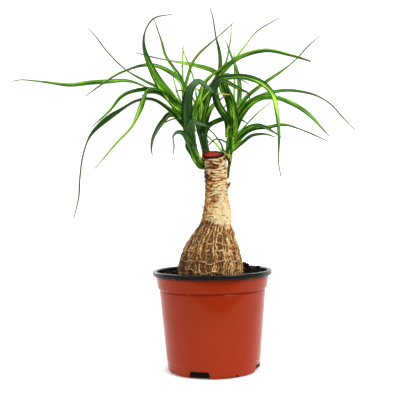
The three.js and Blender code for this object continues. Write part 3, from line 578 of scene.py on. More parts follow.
def bark(angle, height, radius, settings):
    """Relief in millimetres and the marks that the bark's colour follows. Below the ragged edge it is the
    corky net over fibres. Above it, sheets whose fraction of height over spacing steps out upwards, with
    wrinkles where a stretched noise passes its middle value, lens-shaped cracks, a ring-like knot with a fold
    over it, and two seams. The shadow and pale marks also carry painted shade and light: the left side, a
    patch on it and the deep cracks are darkened, the lit side is paler and the side away from it darker."""
    turn = angle / math.tau
    facing = lambda degrees: np.cos(angle - np.radians(degrees))
    off = lambda degrees: away(angle, np.radians(degrees))
    rough = lambda cells, rise, seed: noise(turn * cells, height / rise, seed, cells)

    ragged = 12 * smooth(0.2, 1, facing(BARK_TONGUE)) + 2.6 * np.sin(3 * angle + 0.4)
    ragged += 9 * (rough(26, np.inf, 31) - 0.5)
    edge = BARK_EDGE + ragged + 5 * (rough(120, 2.4, 32) - 0.5)
    paper = smooth(edge - 2.2, edge + 2.2, height)
    upper = smooth(*UPPER_RISE, height)

    cord = net(angle, height, radius, settings.cord_width / MM)
    fibre = rough(150, 4.5, 33) + 0.8 * rough(190, 1.9, 39) - 0.9
    base = settings.cord_height / MM * (cord - 0.8) + 1.1 * fibre

    layer = height / 4.6 + (1.5 * rough(6, 14, 34) + 0.7 * rough(17, 6, 35))
    plate = layer - np.floor(layer)
    shade = noise(np.floor(layer) * 0.37 + turn * 9, np.floor(layer), 37)
    wrinkle = np.abs(noise(turn * 8, height / 3.4 + 3.4 * rough(6, 13, 40), 41, 8) - 0.5)
    # Creases groove the relief, and through the crack mark they darken the bark's colour as painted shade.
    crease = smooth(0.12, 0.05, wrinkle) * (0.12 + 0.88 * upper) * smooth(0.25, 0.6, rough(34, 2.6, 42))
    deep = large_cracks(angle, height, radius)
    crack = np.maximum(np.maximum(small_cracks(angle, height, radius), crease), deep)
    step = settings.bark_step / MM * (1 - smooth(*STEP_FADE, height))
    sheet = step + 0.7 * (plate - 0.5) + (0.8 + 1.6 * upper) * np.minimum(wrinkle, 0.25) - 1.2 * crack
    sheet += 0.9 * (rough(90, 1.7, 36) - 0.5)

    window = smooth(0.72, 0.5, np.abs(off(FRONT)))
    fold = height - FOLD_HEIGHT - FOLD_SLOPE * off(KNOT_SIDE) * radius - 1.2 * (rough(20, np.inf, 63) - 0.5)
    ridge = bell(fold, 0.8) * window
    spot = np.hypot(off(KNOT_SIDE) * radius, 0.8 * (height - KNOT_HEIGHT))
    knot = smooth(5.2, 3.6, spot) * (0.35 + 0.65 * bell(spot - KNOT_RADIUS, 1.1))
    knot *= 0.6 + 0.8 * smooth(0.4, 0.7, rough(80, 1.5, 62))
    knot = np.maximum(knot, 0.9 * bell(fold + 2.1, 0.9) * window)
    seams = sum(bell(off(side) * radius + lean * (height - SEAM_HEIGHT)) for side, lean in SEAMS)
    seams *= smooth(*SEAM_RISE, height) * smooth(*SEAM_FADE, height) * smooth(0.2, 0.5, rough(5, 3, 61))
    crack = np.maximum(crack, np.maximum(0.95 * seams, knot).clip(0, 1))
    bands = sum(bell(height - level, width) for level, width in BANDS)
    bands *= smooth(0.9, 0.6, np.abs(off(FRONT))) * (1 - deep)

    # Painted shade: the left edge of the papery bark, a patch beside it and the deep cracks are darkened
    # through the shadow mark.
    left = smooth(0.72, 0.93, facing(SHADOW_SIDE)) * smooth(*SHADOW_RISE, height)
    left *= 0.35 + bell(height - SHADOW_BELL[0], SHADOW_BELL[1])
    shade_patch = smooth(0.62, 0.4, np.abs(off(SHADE_PATCH_SIDE + 8 * noise(turn * 0, height / 2.5, 64))))
    shade_patch *= bell(height - SHADE_PATCH_HEIGHT, SHADE_PATCH_SPREAD, 4)
    dark = left * smooth(0.25, 0.55, rough(20, 9, 38) + 0.12) + 0.9 * deep + 0.85 * shade_patch
    # Painted light: paler on the lit side, most at the heights of its bells.
    lit = 0.35 + 0.65 * sum(bell(height - level, width) for level, width in LIT_BELLS)
    relief = (1 - paper) * base + paper * (sheet + 0.9 * ridge + 0.6 * bands)
    return smooth(*RELIEF_RISE, height) * relief, {
        "paper": paper,
        "cord": cord,
        "crack": crack * paper,
        "plate": (0.35 * plate + 0.35 * shade + 0.9 * np.minimum(wrinkle, 0.3)).clip(0, 1)
        + 1.8 * upper * (np.minimum(wrinkle, 0.26) - 0.13),
        # Painted shade, below the papery bark too, on the caudex's left side.
        "shadow": paper * dark.clip(0, 1) + 0.36 * (1 - paper) * smooth(0.5, 0.95, facing(SHADE_PATCH_SIDE)),
        # Painted light and shade in the pale mark: paler on the lit side and darker on the side away from it.
        # The fold's ridge and the bands are paler too.
        "pale": (smooth(-0.3, 1, facing(LIT_SIDE)) * lit - 0.35 * upper) + 1.6 * ridge + 1.1 * bands
        - 0.6 * smooth(0.2, 1, facing(SHADE_SIDE)) * smooth(*SHADE_FADE, height),
    }


def rod(stations, sides):
    """Rings of a round rod through rows of x, y, z and radius, square to the line between neighbours."""
    stations = np.asarray(stations, float)
    ahead = unit(np.gradient(stations[:, :3], axis=0))
    side = np.cross(ahead, [0, 1, 0])
    side = unit(np.where(np.linalg.norm(side, axis=1, keepdims=True) < 0.1, [1, 0, 0], side))
    up = np.cross(side, ahead)
    turn = circle(sides)[0][None, :, None]
    spoke = np.cos(turn) * side[:, None] + np.sin(turn) * up[:, None]
    return stations[:, None, :3] + spoke * stations[:, 3, None, None]


class PALM_OT_trunk(bpy.types.Operator):
    """Build the netted caudex, the papery upper trunk and the roots in the soil"""

    bl_idname = "palm.trunk"
    bl_label = "Caudex and trunk"

    def execute(self, context):
        settings = context.scene.palm_trunk
        heights = np.concatenate([HIDDEN_RINGS, np.linspace(SHOWN_FROM, CUT_HEIGHT, TRUNK_RINGS)])
        height, angle = np.meshgrid(heights, circle(TRUNK_SPOTS)[0], indexing="ij")
        centre, radius = trunk_at(height)
        relief, marks = bark(angle, height, radius, settings)
        spread = radius * lobes(angle, height) + relief
        x, y = centre + spread * np.cos(angle), spread * np.sin(angle)
        rise = smooth(SLANT_FROM, CUT_HEIGHT, height)
        side = np.stack([x, y, height + rise * (cut_height(x, y) - CUT_HEIGHT)], axis=-1)
        towards = lambda point, ring, shares: point + (ring - point) * np.array(shares)[:, None, None]
        low = towards(np.array([centre[0, 0], 0, TRUNK_TIP]), side[:1], (0.1, 0.5))
        top = towards(side[-1].mean(axis=0), side[-1:], (0.93, 0.6, 0.15))
        pad = lambda mark: np.concatenate([mark[:1].repeat(len(low), 0), mark, mark[-1:].repeat(len(top), 0)])
        shell = Shell()
        shell.add(np.concatenate([low, side, top]), **{name: pad(mark) for name, mark in marks.items()})
        for rows in (BUD, FIBRE):
            shell.add(rod(rows, 8), cord=0.25)
        for degrees, drop in ROOTS:
            out = np.array([math.cos(math.radians(degrees)), math.sin(math.radians(degrees))])
            levels = ((8, 100, 5), (22, 84 - drop, 5), (34, 62 - drop, 3.6), (39, 38 - drop, 2))
            shell.add(rod([(*out * reach, level, thick) for reach, level, thick in levels], 10), cord=0.3)
        add_piece("caudex_and_trunk", shell, [netted_bark(settings)], ["caudex_trunk"])
        return {"FINISHED"}


def netted_bark(settings):
    """Corky skin of the caudex under papery bark: dull, fibrous browns with light worn cords below and cream
    to tan flakes with dark cracks above. Painted shade darkens the furrows between the cords, the creases,
    the deep cracks and the left side, and painted light makes the lit side paler. Fibres are drawn about 1 mm
    wide, coarser than life."""
    material, node = new_material("netted_bark")
    place = node("TexCoord", output="Object")
    paper, cord, crack, plate, shadow, pale = (
        node("Attribute", attribute_name=name, output="Fac")
        for name in ("paper", "cord", "crack", "plate", "shadow", "pale")
    )

    tall = node("Mapping", place, Scale=(1, 1, 0.28))
    fibres = node("TexNoise", tall, Scale=620, Detail=4, Roughness=0.65)
    wide = node("Mapping", place, Scale=(1, 1, 2.6))
    flakes = node("TexNoise", wide, Scale=190, Detail=4, Roughness=0.6)
    sheets = node("TexNoise", wide, Scale=85, Detail=2, Roughness=0.5)
    broad = node("TexNoise", place, Scale=105, Detail=3)
    speckle = node("TexNoise", place, Scale=420, Detail=5, Roughness=0.75)

    skin = node("ValToRGB", fibres,
                stops=[(0.38, settings.furrow_colour), (0.5, settings.skin_colour), (0.62, "#E6B470")])
    # Painted shade: the skin is darkened between the cords, in the furrows.
    furrow = node("MapRange", cord, From_Max=0.4, To_Min=0.42)
    shaded_skin = node("Mix", 1, skin, furrow, **MULTIPLIED)
    worn = node("Math", broad, 2.6, -1.25, operation="MULTIPLY_ADD")
    lit = node("MapRange", node("Math", cord, worn, operation="ADD"), From_Min=0.4)
    corky = node("Mix", lit, shaded_skin, settings.cord_colour, **BLENDED)

    peeled = node("Math", sheets, 1.8, -1.2, operation="MULTIPLY_ADD")
    tone = node("Math", plate, peeled, operation="ADD")
    for texture, strength in ((flakes, 1.4), (pale, 0.4), (speckle, 2.2)):
        tone = node("Math", texture, strength, tone, operation="MULTIPLY_ADD")
    mottled = node("Math", tone, 1.13, operation="SUBTRACT")
    sheet = node("ValToRGB", mottled,
                 stops=[(0.38, "#7A4620"), (0.5, settings.tan_colour), (0.66, "#E8AA58"), (0.82, "#FFDE96"),
                        (1.0, settings.paper_colour)])
    bent = node("VectorMath", flakes.node.outputs["Color"], (0.007,) * 3, place, operation="MULTIPLY_ADD")
    squat = node("Mapping", bent, Scale=(1, 1, 1.7))
    scales = node("TexVoronoi", squat, feature="DISTANCE_TO_EDGE", Scale=200)
    outline = node("MapRange", scales, From_Min=0.02, From_Max=0.18, To_Min=0.42, To_Max=0)
    flaked = node("Mix", outline, sheet, "#CC7C22", **BLENDED)
    # The crack mark's brown, on the cracks, seams and knot, and as painted shade on the creases.
    papery = node("Mix", crack, flaked, "#7A3A0C", **BLENDED)

    layered = node("Mix", paper, corky, papery, **BLENDED)
    # Painted shade: the shadow mark darkens the bark to this deep brown.
    painted_shadow = node("Mix", shadow, layered, "#4A2A16", **BLENDED)
    grit = node("ValToRGB", speckle, stops=[(0.37, "#76461F"), (0.46, "#DFBE90"), (0.53, "#FFFFFF")])
    gritty = node("MapRange", paper, To_Min=1, To_Max=0.25)
    final = node("Mix", gritty, painted_shadow, grit, **MULTIPLIED)
    grain = node("Math", fibres, speckle, operation="ADD")
    bump = node("Bump", Strength=0.8, Distance=0.0015, Height=grain)
    node("OutputMaterial", node("BsdfPrincipled", final, Roughness=0.85, IOR=1.4, Normal=bump))
    return material


# Soil

# Level and reach of the loose soil, how finely its bed is drawn, and the radius where its top ends unseen
SOIL_LEVEL, SOIL_EDGE = 129.5, 73.5
SOIL_SPOTS, SOIL_RINGS, SOIL_MIDDLE = 220, 60, 20
CRUMB_SPOTS, CRUMB_SHARP_ANGLE = 6, 60

# The heaps behind and to the right of the trunk, as x, y, height and spread
HEAPS = ((47, 20, 10.5, 5), (66, 27, 7.5, 3.6), (56, 18, 4, 7))


class SoilSettings(bpy.types.PropertyGroup):
    """Sizes and colours of the potting soil."""

    crumb_count: bpy.props.IntProperty(
        name="Crumbs", description="Loose crumbs on the soil", default=1100, min=0
    )
    crumb_size: length("Crumb size", 1.5, "Half the width of a middling crumb")
    dark_colour: colour("Dark colour", "#080402", "Moist peat")
    light_colour: colour("Light colour", "#3C2615", "Dry bark chips")


def soil_height(x, y):
    """Crumbly level with rounded heaps on it."""
    rough = lambda wide, shift, seed: noise(x / wide + shift, y / wide + shift, seed) - 0.5
    height = SOIL_LEVEL + (2.2 * rough(7, 40, 41) + 1.6 * rough(2.6, 60, 42))
    for middle_x, middle_y, high, wide in HEAPS:
        height = height + high * np.exp(-((x - middle_x) ** 2 + (y - middle_y) ** 2) / (2 * wide**2))
    return height


def crumb_shapes(places, sizes, rng):
    """One irregular lump per place: a ball of a few flat rings, each corner pushed in or out, then stretched
    along three axes and turned. Returns rings of points for each lump."""
    count = len(places)
    line = np.array([(0.02, -1.0), (0.7, -0.7), (1.0, 0.0), (0.7, 0.7), (0.02, 1.0)])
    grid = lathe(line, circle(CRUMB_SPOTS)[1])
    pushed = rng.uniform(0.7, 1.3, (count, *grid.shape[:2], 1))
    lumps = grid[None] * pushed * rng.uniform(0.55, 1.3, (count, 1, 1, 3))
    a, b = rng.uniform(0, math.tau, (2, count))
    spin = np.zeros((count, 3, 3))
    spin[:, 0, 0], spin[:, 0, 1] = np.cos(a), -np.sin(a)
    spin[:, 1, 0], spin[:, 1, 1], spin[:, 2, 2] = np.sin(a), np.cos(a), 1
    tip = np.zeros((count, 3, 3))
    tip[:, 0, 0] = 1
    tip[:, 1, 1], tip[:, 1, 2], tip[:, 2, 1], tip[:, 2, 2] = np.cos(b), -np.sin(b), np.sin(b), np.cos(b)
    lumps = np.einsum("nij,njk,nabk->nabi", spin, tip, lumps)
    return lumps * sizes[:, None, None, None] + places[:, None, None]


class PALM_OT_soil(bpy.types.Operator):
    """Fill the pot with soil and strew crumbs and bark chips over it"""

    bl_idname = "palm.soil"
    bl_label = "Potting soil"

    def execute(self, context):
        settings = context.scene.palm_soil
        side = np.array([
            (FOOT - WALL - 0.6, FLOOR + 0.3), (FOOT_TOP - WALL - 0.6, FOOT_HEIGHT),
            (BODY_FOOT - WALL - 0.6, FOOT_HEIGHT + 2.4), (BODY_TOP - WALL - 0.6, COLLAR_FOOT_HEIGHT),
            (COLLAR_FOOT - WALL - 0.6, COLLAR_FOOT_HEIGHT + 2.4), (COLLAR_TOP - WALL - 0.9, SOIL_LEVEL - 2.5),
        ])
        spin = circle(SOIL_SPOTS)[1]
        reach = np.linspace(COLLAR_TOP - WALL - 1.2, SOIL_MIDDLE, SOIL_RINGS)
        flat = reach[:, None, None] * spin
        top = np.concatenate([flat, soil_height(flat[..., :1], flat[..., 1:])], axis=-1)
        compost = [potting_compost(settings)]
        bed = Shell()
        bed.add(np.concatenate([lathe(side, spin), top]))
        add_piece("soil_bed", bed, compost, ["potting_soil"])

        rng = np.random.default_rng(5)
        count = settings.crumb_count
        angle = rng.uniform(0, math.tau, count)
        centre, radius = trunk_at(np.full(count, SOIL_LEVEL))
        inner = radius - 3 + centre * np.cos(angle)
        r = np.sqrt(rng.uniform(inner**2, SOIL_EDGE**2))
        x, y = r * np.cos(angle), r * np.sin(angle)
        size = settings.crumb_size / MM * rng.lognormal(-0.25, 0.45, count).clip(0.3, 2.1)
        places = np.stack([x, y, soil_height(x, y) + 0.3 * size], axis=-1)
        kinds = rng.random(count)
        crumbs = Shell()
        for lump, kind in zip(crumb_shapes(places, size, rng), kinds):
            crumbs.add(lump, kind=kind)
        add_piece("soil_crumbs", crumbs, compost, smooth_angle=CRUMB_SHARP_ANGLE)
        return {"FINISHED"}


def potting_compost(settings):
    """Peat with bark chips, screened and moist: dull near-black crumbs with brown and a few pale ones."""
    material, node = new_material("potting_compost")
    kind = node("Attribute", attribute_name="kind", output="Fac")
    grains = node("TexNoise", node("TexCoord", output="Object"), Scale=480, Detail=5, Roughness=0.7)
    lighter = node("Math", kind, 0.42, operation="MULTIPLY")
    total = node("Math", grains, 0.6, lighter, operation="MULTIPLY_ADD")
    tone = node("ValToRGB", total,
                stops=[(0.3, settings.dark_colour), (0.55, "#2B1A0F"), (0.66, settings.light_colour),
                       (0.76, "#A88657")])
    bump = node("Bump", Strength=0.9, Distance=0.001, Height=grains)
    node("OutputMaterial", node("BsdfPrincipled", tone, Roughness=0.9, IOR=1.2, Normal=bump))
    return material


# Wax seal

WAX_RADIUS, WAX_THICKNESS = 15.2, 2.6
WAX_SPOTS, WAX_RINGS, WAX_WAVES = 96, 20, 11

# The rounded edge of the wax upwards, as share of its radius and lift off the cut
WAX_EDGE = ((0.9, 0), (0.97, 0), (1.0, 0.5), (1.0, 1.1), (0.985, 1.7))


class WaxSettings(bpy.types.PropertyGroup):
    """Sizes and colours of the wax on the cut."""

    ripple: length("Ripple", 0.7, "Height of the lumps that the brush left")
    face_colour: colour("Face colour", "#C82810", "Wax where it is thick")
    edge_colour: colour("Edge colour", "#3A0F0B", "Dirty edge of the wax")


class PALM_OT_wax(bpy.types.Operator):
    """Seal the slanted cut with a lumpy coat of wax"""

    bl_idname = "palm.wax"
    bl_label = "Wax seal"

    def execute(self, context):
        settings = context.scene.palm_wax
        turn = circle(WAX_SPOTS)[0]
        edge_share, edge_lift = np.array(WAX_EDGE).T
        inwards = np.linspace(0.96, 0.06, WAX_RINGS)
        share = np.concatenate([edge_share, inwards])[:, None]
        lift = np.concatenate([edge_lift, WAX_THICKNESS - 0.35 * (1 - inwards**6)])[:, None]
        waves = noise(turn * WAX_WAVES / math.tau, turn * 0, 51, WAX_WAVES) - 0.5
        r = share * (WAX_RADIUS * (1 + 0.05 * waves))
        x, y = WAX_CENTRE_X + r * np.cos(turn), r * np.sin(turn)
        lumps = noise(x / 3 + 50, y / 3 + 50, 52) + 0.5 * noise(x + 70, y + 70, 53) - 0.75
        z = cut_height(x, y) + 0.3 + lift + settings.ripple / MM * lumps * smooth(0.6, 1.6, lift)
        shell = Shell()
        shell.add(np.stack([x, y, z], axis=-1), rim=np.broadcast_to(share, x.shape))
        add_piece("grafting_wax_seal", shell, [brushed_wax(settings)], ["wax_seal"])
        return {"FINISHED"}


def brushed_wax(settings):
    """Grafting wax, brushed on warm: a deep red with a soft sheen, thinner and dirty at its edge."""
    material, node = new_material("brushed_grafting_wax")
    rim = node("Attribute", attribute_name="rim", output="Fac")
    strokes = node("TexNoise", node("TexCoord", output="Object"), Scale=260, Detail=4)
    dirty = node("Math", strokes, 0.25, rim, operation="MULTIPLY_ADD")
    tone = node("ValToRGB", dirty,
                stops=[(0.5, settings.face_colour), (0.9, "#8A1E14"), (0.97, "#4A130E"),
                       (1.0, settings.edge_colour)])
    thin = node("MapRange", strokes, From_Min=0.38, From_Max=0.62, To_Min=0.45, To_Max=1.35)
    streaked = node("Mix", 1, tone, thin, **MULTIPLIED)
    bump = node("Bump", Strength=0.7, Distance=0.0012, Height=strokes)
    node("OutputMaterial", node("BsdfPrincipled", streaked, Roughness=0.45, IOR=1.1, Normal=bump))
    return material


# Shoots

# Each leaf: height where it leaves its stem, full width, share of its length that is blade before it dries
# to a thread (0 for a papery dead scale); at even steps along it, its turn from facing the front in degrees,
# its depth behind the pot's axis after the root, and how light it is (-1 for blue-green, 0 for dark green, 1
# for lime, and a dry part is cream); then its outline seen from the front
LEAVES = {
    "left": [
        (343, 13, 0.8, (20, 25, 45, 64, 55), (-22, -42, -55), (0.75, 0.45, 0.28, 0.1, 0.05), (-53.6, 375.4),
         (-70.5, 399.3), (-84.5, 427.7), (-89.3, 449.3), (-86.1, 470.1), (-74.2, 486.1), (-48.8, 491.2)),
        (358, 7, 0.6, (50, 58, 58), (10, 30, 55), (0.4, 0.3), (-68, 388), (-88, 399), (-114, 415),
         (-140, 441), (-156, 463), (-166.5, 474.3)),
        (372, 8, 1, (50, 45, 60, 74, 70, 60), (-14, -42, -75), (0.45, 0.3, 0.0, 0.3, 0.4), (-37.4, 394.6),
         (-50.4, 408.6), (-74, 420), (-95, 420), (-123, 411), (-148, 396), (-171, 380)),
        (362, 8, 0.95, (85, 88, 40, 35, 20), (-4, -8, -12, -15), (0.6, 0.4, 0.35, 0.5), (-52, 374),
         (-84, 390), (-109, 399.2), (-137, 399.2), (-164, 398.2), (-192, 395.2), (-226, 400.2), (-261, 404),
         (-273, 402)),
        (352, 8.5, 1, (40, 52, 55, 55), (-12, -22, -50), (0.8, 0.3, 0.2), (-61, 378), (-82, 387), (-109, 384),
         (-123, 376), (-137, 360), (-163, 337)),
        (347, 9, 1, (50, 50), (-18, -30), (0.35, 0.1), (-68, 381), (-82, 383), (-94, 379)),
        (330, 10.5, 0.66, (30, 60, 82, 70, 12, 20, 40, 42, 42), (-12, -25, -35, -30),
         (0.9, 0.35, 0.12, 0.12, 0.2), (-61, 363.1), (-80, 374), (-101, 372), (-122, 360), (-150, 341),
         (-166, 324), (-176, 298), (-181, 266), (-183, 240), (-190.8, 209.1)),
        (361, 6.5, 1, (80, 80, 82, 15, 58, 66, 68, 70), (-35, -75, -115), (0.3, 0.2, 0.4, 1.1, 0.9, 0.6),
         (-54, 378), (-71, 388), (-84, 388), (-91, 372), (-97, 356), (-107, 337), (-131, 312), (-160, 279)),
        (342, 9.5, 1, (40, 50, 60), (2, -28, -45), (-0.02, -0.04), (-54.2, 352), (-63.2, 343), (-73.2, 330),
         (-79, 317), (-81, 306), (-80, 295)),
        (336, 3, 0.5, (60, 60), (-25, -40), (0.3,), (-42, 346), (-50, 346), (-65, 340)),
        (302, 10, 0.7, (20, 40, 66, 75), (-30, -55, -70), (-0.2, -0.1, -0.3, -0.3), (-37.4, 324.9),
         (-44.4, 326.9), (-50.4, 321.9), (-49.8, 309.2), (-50.6, 297)),
        (292, 9, 1, (25, 30), (-14,), (0.0,), (-32, 307), (-34, 312)),
        # Its blue-green bloom is strongest over the arch's top: partly the wax bloom and partly a painted
        # sheen there.
        (326, 13, 0.97, (0, 10, 40, 60, 70), (-30, -58, -75),
         (0.3, 0.1, 0.0, 0.0, -0.02, -0.4, -0.85, -0.65, -0.5, 1.5, 1.5), (-31, 345), (-30.9, 361.9),
         (-29.2, 378.8), (-23.2, 392.9), (-14, 398.3), (-5.4, 393.4), (2.1, 385.8), (11.3, 381), (29.3, 378)),
        (306, 10.5, 1, (10, 30, 60), (-38, -72), (0.05, -0.1, -0.3, -0.5, -0.35), (-28.9, 321.9),
         (-28.7, 335), (-23.5, 342.2), (-14.4, 340), (-0.1, 333.9)),
        (370, 4, 1, (60, 60), (30, 70), (0.75,), (-36, 398), (-36, 420), (-34, 450)),
        (366, 8.5, 0.9, (45, 60, 66, 52, 56), (8, 22, 45), (0.5, 0.25, 0.1), (-34, 384), (-39, 402),
         (-49, 417), (-60, 436), (-65, 456), (-75, 486.5)),
        (360, 4, 1, (60, 60), (20, 45), (0.75,), (-43, 379), (-46, 391), (-50, 407)),
        (363, 7, 0.9, (60, 60), (14, 40, 70), (0.6, 0.4), (-33, 388), (-30, 402), (-24, 420), (-12, 437),
         (12, 457), (35.3, 477.5)),
        (331, 10.5, 1, (20, 40), (-12, -16), (1.4, 1.4, 1.0), (-24, 343), (-21, 357), (-17, 367), (-12, 379),
         (-9, 391)),
        (352, 9, 1, (25, 40, 60), (40, 85, 115), (0.35,), (-54, 378), (-68, 396), (-79, 414), (-86, 432)),
        (340, 9, 1, (50, 75, 50), (38, 80, 105), (0.35,), (-61, 364), (-80, 374), (-103, 371), (-122, 360)),
        (332, 9, 1, (10, 20, 30), (30, 75, 110), (0.1,), (-30, 352), (-29, 370), (-25, 384), (-17, 392)),
        (284, 2.4, 0, (0, 20), (-13, -12), (1.5,), (-13.4, 290.4), (-14.8, 296.7), (-16, 300.9)),
        (334, 7, 1, (10, 30), (-16, -20), (0.75, 0.4, 0.5), (-18.2, 359.2), (-11.7, 377.1), (-8.5, 388.2),
         (-7.6, 395.8)),
        (345, 3.5, 1, (50, 60), (-12, -24), (0.1,), (-31.1, 376.1), (-37.2, 384.8), (-46.2, 384.3)),
    ],
    "centre": [
        (326, 7, 1, (20, 35), (12, 4), (0.5, 0.6), (-14, 343), (-17, 357), (-20, 369), (-25, 380)),
        (328, 8, 1, (10, 30), (10, 4), (0.7, 0.6), (-11, 346), (-11, 359), (-12, 373), (-11, 391)),
        (327, 7, 1, (-10, -40), (10, 0), (0.4, 0.5), (-8, 345), (-4, 361), (0, 373), (3, 388)),
        (338, 9.2, 1.08, (-20, -48, -50, -46, -42), (15, 13, 8, 4), (0.4, 0.3, 0.35, 0.35), (-12, 366),
         (-4, 379), (4, 389), (11, 400), (18, 410), (29, 420), (50, 432), (82, 438), (115, 431), (143, 422)),
        (350, 5, 1, (-50, -58), (40, 75), (0.7,), (-8, 378), (-1, 400), (18, 414), (25, 424), (29, 442),
         (32, 460), (33, 477)),
        (324, 9, 0.9, (-20, -35, -50), (10, -4), (0.3, 0.5, 0.8), (-5, 341), (-1, 353), (6, 363), (15, 371),
         (22, 376), (30, 376)),
        (317, 9, 1, (-45, -45), (20, 28, 34), (0.3, 0.25), (-3, 332), (9, 341), (28, 345), (44, 343),
         (54, 337)),
        (354, 7.5, 0.75, (-45, -54, -48), (40, 70, 90), (0.6, 0.7, 0.5), (-7, 376), (3, 390), (16, 405),
         (29, 417), (37, 427), (50, 444), (68, 465), (100.6, 484.1)),
        (352, 4, 1, (60, 60), (34, 60), (0.7,), (-17, 374), (-20, 398), (-24, 412), (-32, 434), (-36, 445)),
        (342, 9, 1, (-40, -55, -50), (55, 95, 125), (0.35,), (1, 387), (14, 403), (30, 419), (46, 430)),
        (330, 9, 1, (0, 20, 30), (50, 90, 120), (0.3,), (-10, 356), (-11, 374), (-14, 385), (-19, 388)),
        (328, 9, 1, (-10, -35), (14, 6), (0.35, 0.3), (-4, 363), (2, 378), (7, 389), (11, 399)),
        (330, 7, 1, (0, -30), (18, 20, 10), (0.4, 0.6), (-13, 359), (-12, 376), (-6, 394), (3, 404),
         (15, 413), (26, 421)),
        (312, 10, 1, (20, 40), (10, 2), (0.05, 0.2), (-16, 338), (-20, 351), (-22, 363)),
        (316, 9, 1, (-10, 20), (14, 12), (0.15, 0.3), (-10, 341), (-14, 358), (-17, 374)),
    ],
    "right": [
        # Its lightness jumps to 0.52 at one step past its bend: a painted highlight there.
        (319, 10, 0.95, (-25, -30, -48, -40, -45, -40, -35), (-14, -30, -48, -62, -70),
         (0.4, 0.25, 0.1, -0.02, -0.15, -0.15, -0.15, -0.1, 0.05, 0.52, 0.05, -0.1, -0.25, -0.28, -0.3),
         (27, 342), (19, 354), (12, 367), (10, 377), (9, 385), (10, 393), (16, 400), (26, 401.8), (44, 402.8),
         (59, 399.8), (75, 392), (88, 377), (94, 349), (96, 321), (94.9, 284), (97.9, 262.7)),
        (318, 11, 1, (0, -15, -35), (-6, -10, 2), (0.95, 0.9, 0.45, 0.3, 0.3, 0.3), (33.2, 329.1),
         (34.6, 344.4), (33.3, 356.2), (30.9, 366.6), (28.1, 376.4), (24.7, 387.6), (21.7, 396.6),
         (19.2, 405.7), (18, 415.4)),
        (343, 4, 1, (60, 60), (20, 60), (0.85,), (36, 358), (35, 376), (36, 404), (36, 443)),
        (340, 8.5, 1, (40, 50, 55), (14, 30, 48), (0.5, 0.3, 0.35), (39, 358), (42, 386), (40, 407),
         (33, 429), (24, 455)),
        (322, 12, 1, (-10, -40, -62, -52, -48), (-5, -10, -14), (0.7, 0.45, 0.35, 0.4, 0.45), (44.1, 350.9),
         (57.1, 364.9), (72, 372), (88, 373), (103.4, 369.3), (122.4, 359.3), (140.4, 346.3), (166.4, 317.3)),
        (328, 7.5, 0.8, (-50, -56, -54), (10, 22, 38), (0.35, 0.05), (58.2, 368.2), (74.4, 375.9),
         (89.7, 380.5), (109.2, 382.5), (127.2, 380.5), (149.9, 374.3), (169.1, 362.1), (183.4, 345.9),
         (201.8, 326)),
        (335, 8.5, 0.75, (-50, -54, -50), (16, 46, 80), (0.6, 0.42, 0.2), (38, 354), (52.7, 373.4),
         (74.7, 391.4), (101.7, 409.4), (124.7, 428.4), (136.7, 441.4), (155.3, 457.6)),
        (336, 10, 0.8, (-40, -45, -50, -25, -35), (18, 40, 60), (0.9, 0.75, 0.25, 0.05, 0.1), (31, 352),
         (27.5, 369), (22.5, 383), (17.5, 398), (16.9, 411), (17.4, 424), (15.4, 440), (11.4, 458),
         (7.4, 486), (4, 498.9)),
        (336, 5, 0.7, (-40, -30, -50), (4, 8, 10), (0.6, 0.5), (24.3, 370.9), (16.3, 387.7), (17.2, 400.9),
         (25, 407.9), (33.9, 404), (44.9, 399), (57.3, 391.4)),
        (320, 9, 1, (-50, -50, -50, -30, -20), (-6, -20, -34, -30, -30), (0.4, 0.15, 0.1, 0.1), (22.5, 348.8),
         (14.6, 362.8), (11.2, 373.9), (10, 385.1), (12.9, 393.3), (19.9, 398), (30.9, 392.3), (44, 385.1),
         (55.1, 379), (56.3, 368.9)),
        (350, 3, 1, (30, 50), (-5, -12), (0.35,), (31, 367), (24, 364), (20, 359)),
        (309, 3.5, 1, (-60, -60), (30, 70), (0.8,), (52, 337), (68, 353), (86, 367)),
        (308, 8, 1, (-45, -45), (-2, 4, 10), (0.55, 0.1, -0.02), (44.3, 325.5), (56.2, 332.5), (68, 334.3),
         (78.4, 331.4), (88, 325.6), (99.7, 318.5)),
        (300, 7.5, 0.8, (-40, -50, -50), (8, 20, 36), (0.6, 0.2, 0.3), (51, 325), (65, 330.8), (81, 331.8),
         (105, 334.8), (130, 326.8), (164, 311.2)),
        (297, 6, 1, (-40, -45), (-14, -32), (0.5, 0.1, 0.0), (35, 303), (46, 312), (59, 320.7), (71, 322.7),
         (81, 321.7), (92, 317.7)),
        (296, 2.8, 1, (35, 45), (0, 12, 34), (0.2, 0.45, 0.4), (19, 300.5), (16, 309.1), (10.7, 317.6),
         (6.2, 323.9), (-0.6, 330.2), (-6.9, 334.7)),
        (294, 2.8, 1, (35, 45), (0, 12, 34), (0.5, 0.75, 0.6), (17.3, 299), (13.6, 303.7), (9, 310),
         (2.2, 316.2), (-3.8, 322.6), (-9.8, 328.5)),
        (302, 2.4, 1, (50, 50), (5, 7), (0.2,), (23.2, 311.3), (19.9, 313.7), (14.6, 316.4), (7.6, 316.6),
         (3.7, 314), (-2.5, 307.9)),
        (296, 4.5, 1, (10, 30), (-6,), (0.15,), (24.5, 303.9), (23.1, 314.1)),
        (346, 8.5, 0.8, (55, 38, 45), (24, 36, 44), (0.35, 0.45, 0.1), (24, 385), (17, 399), (8, 410.4),
         (-18, 419.4), (-46, 425.4), (-74, 431.4), (-101, 439)),
        (330, 9, 1, (-30, -62, -50), (34, 70, 105), (0.35,), (43, 353), (56, 366), (75, 372), (97, 370),
         (118, 360)),
        (320, 6.5, 1, (-35, -50, -60), (30, 66, 100), (0.4, 0.1, 0.1, 0.1), (22.5, 347.4), (14.8, 361.4),
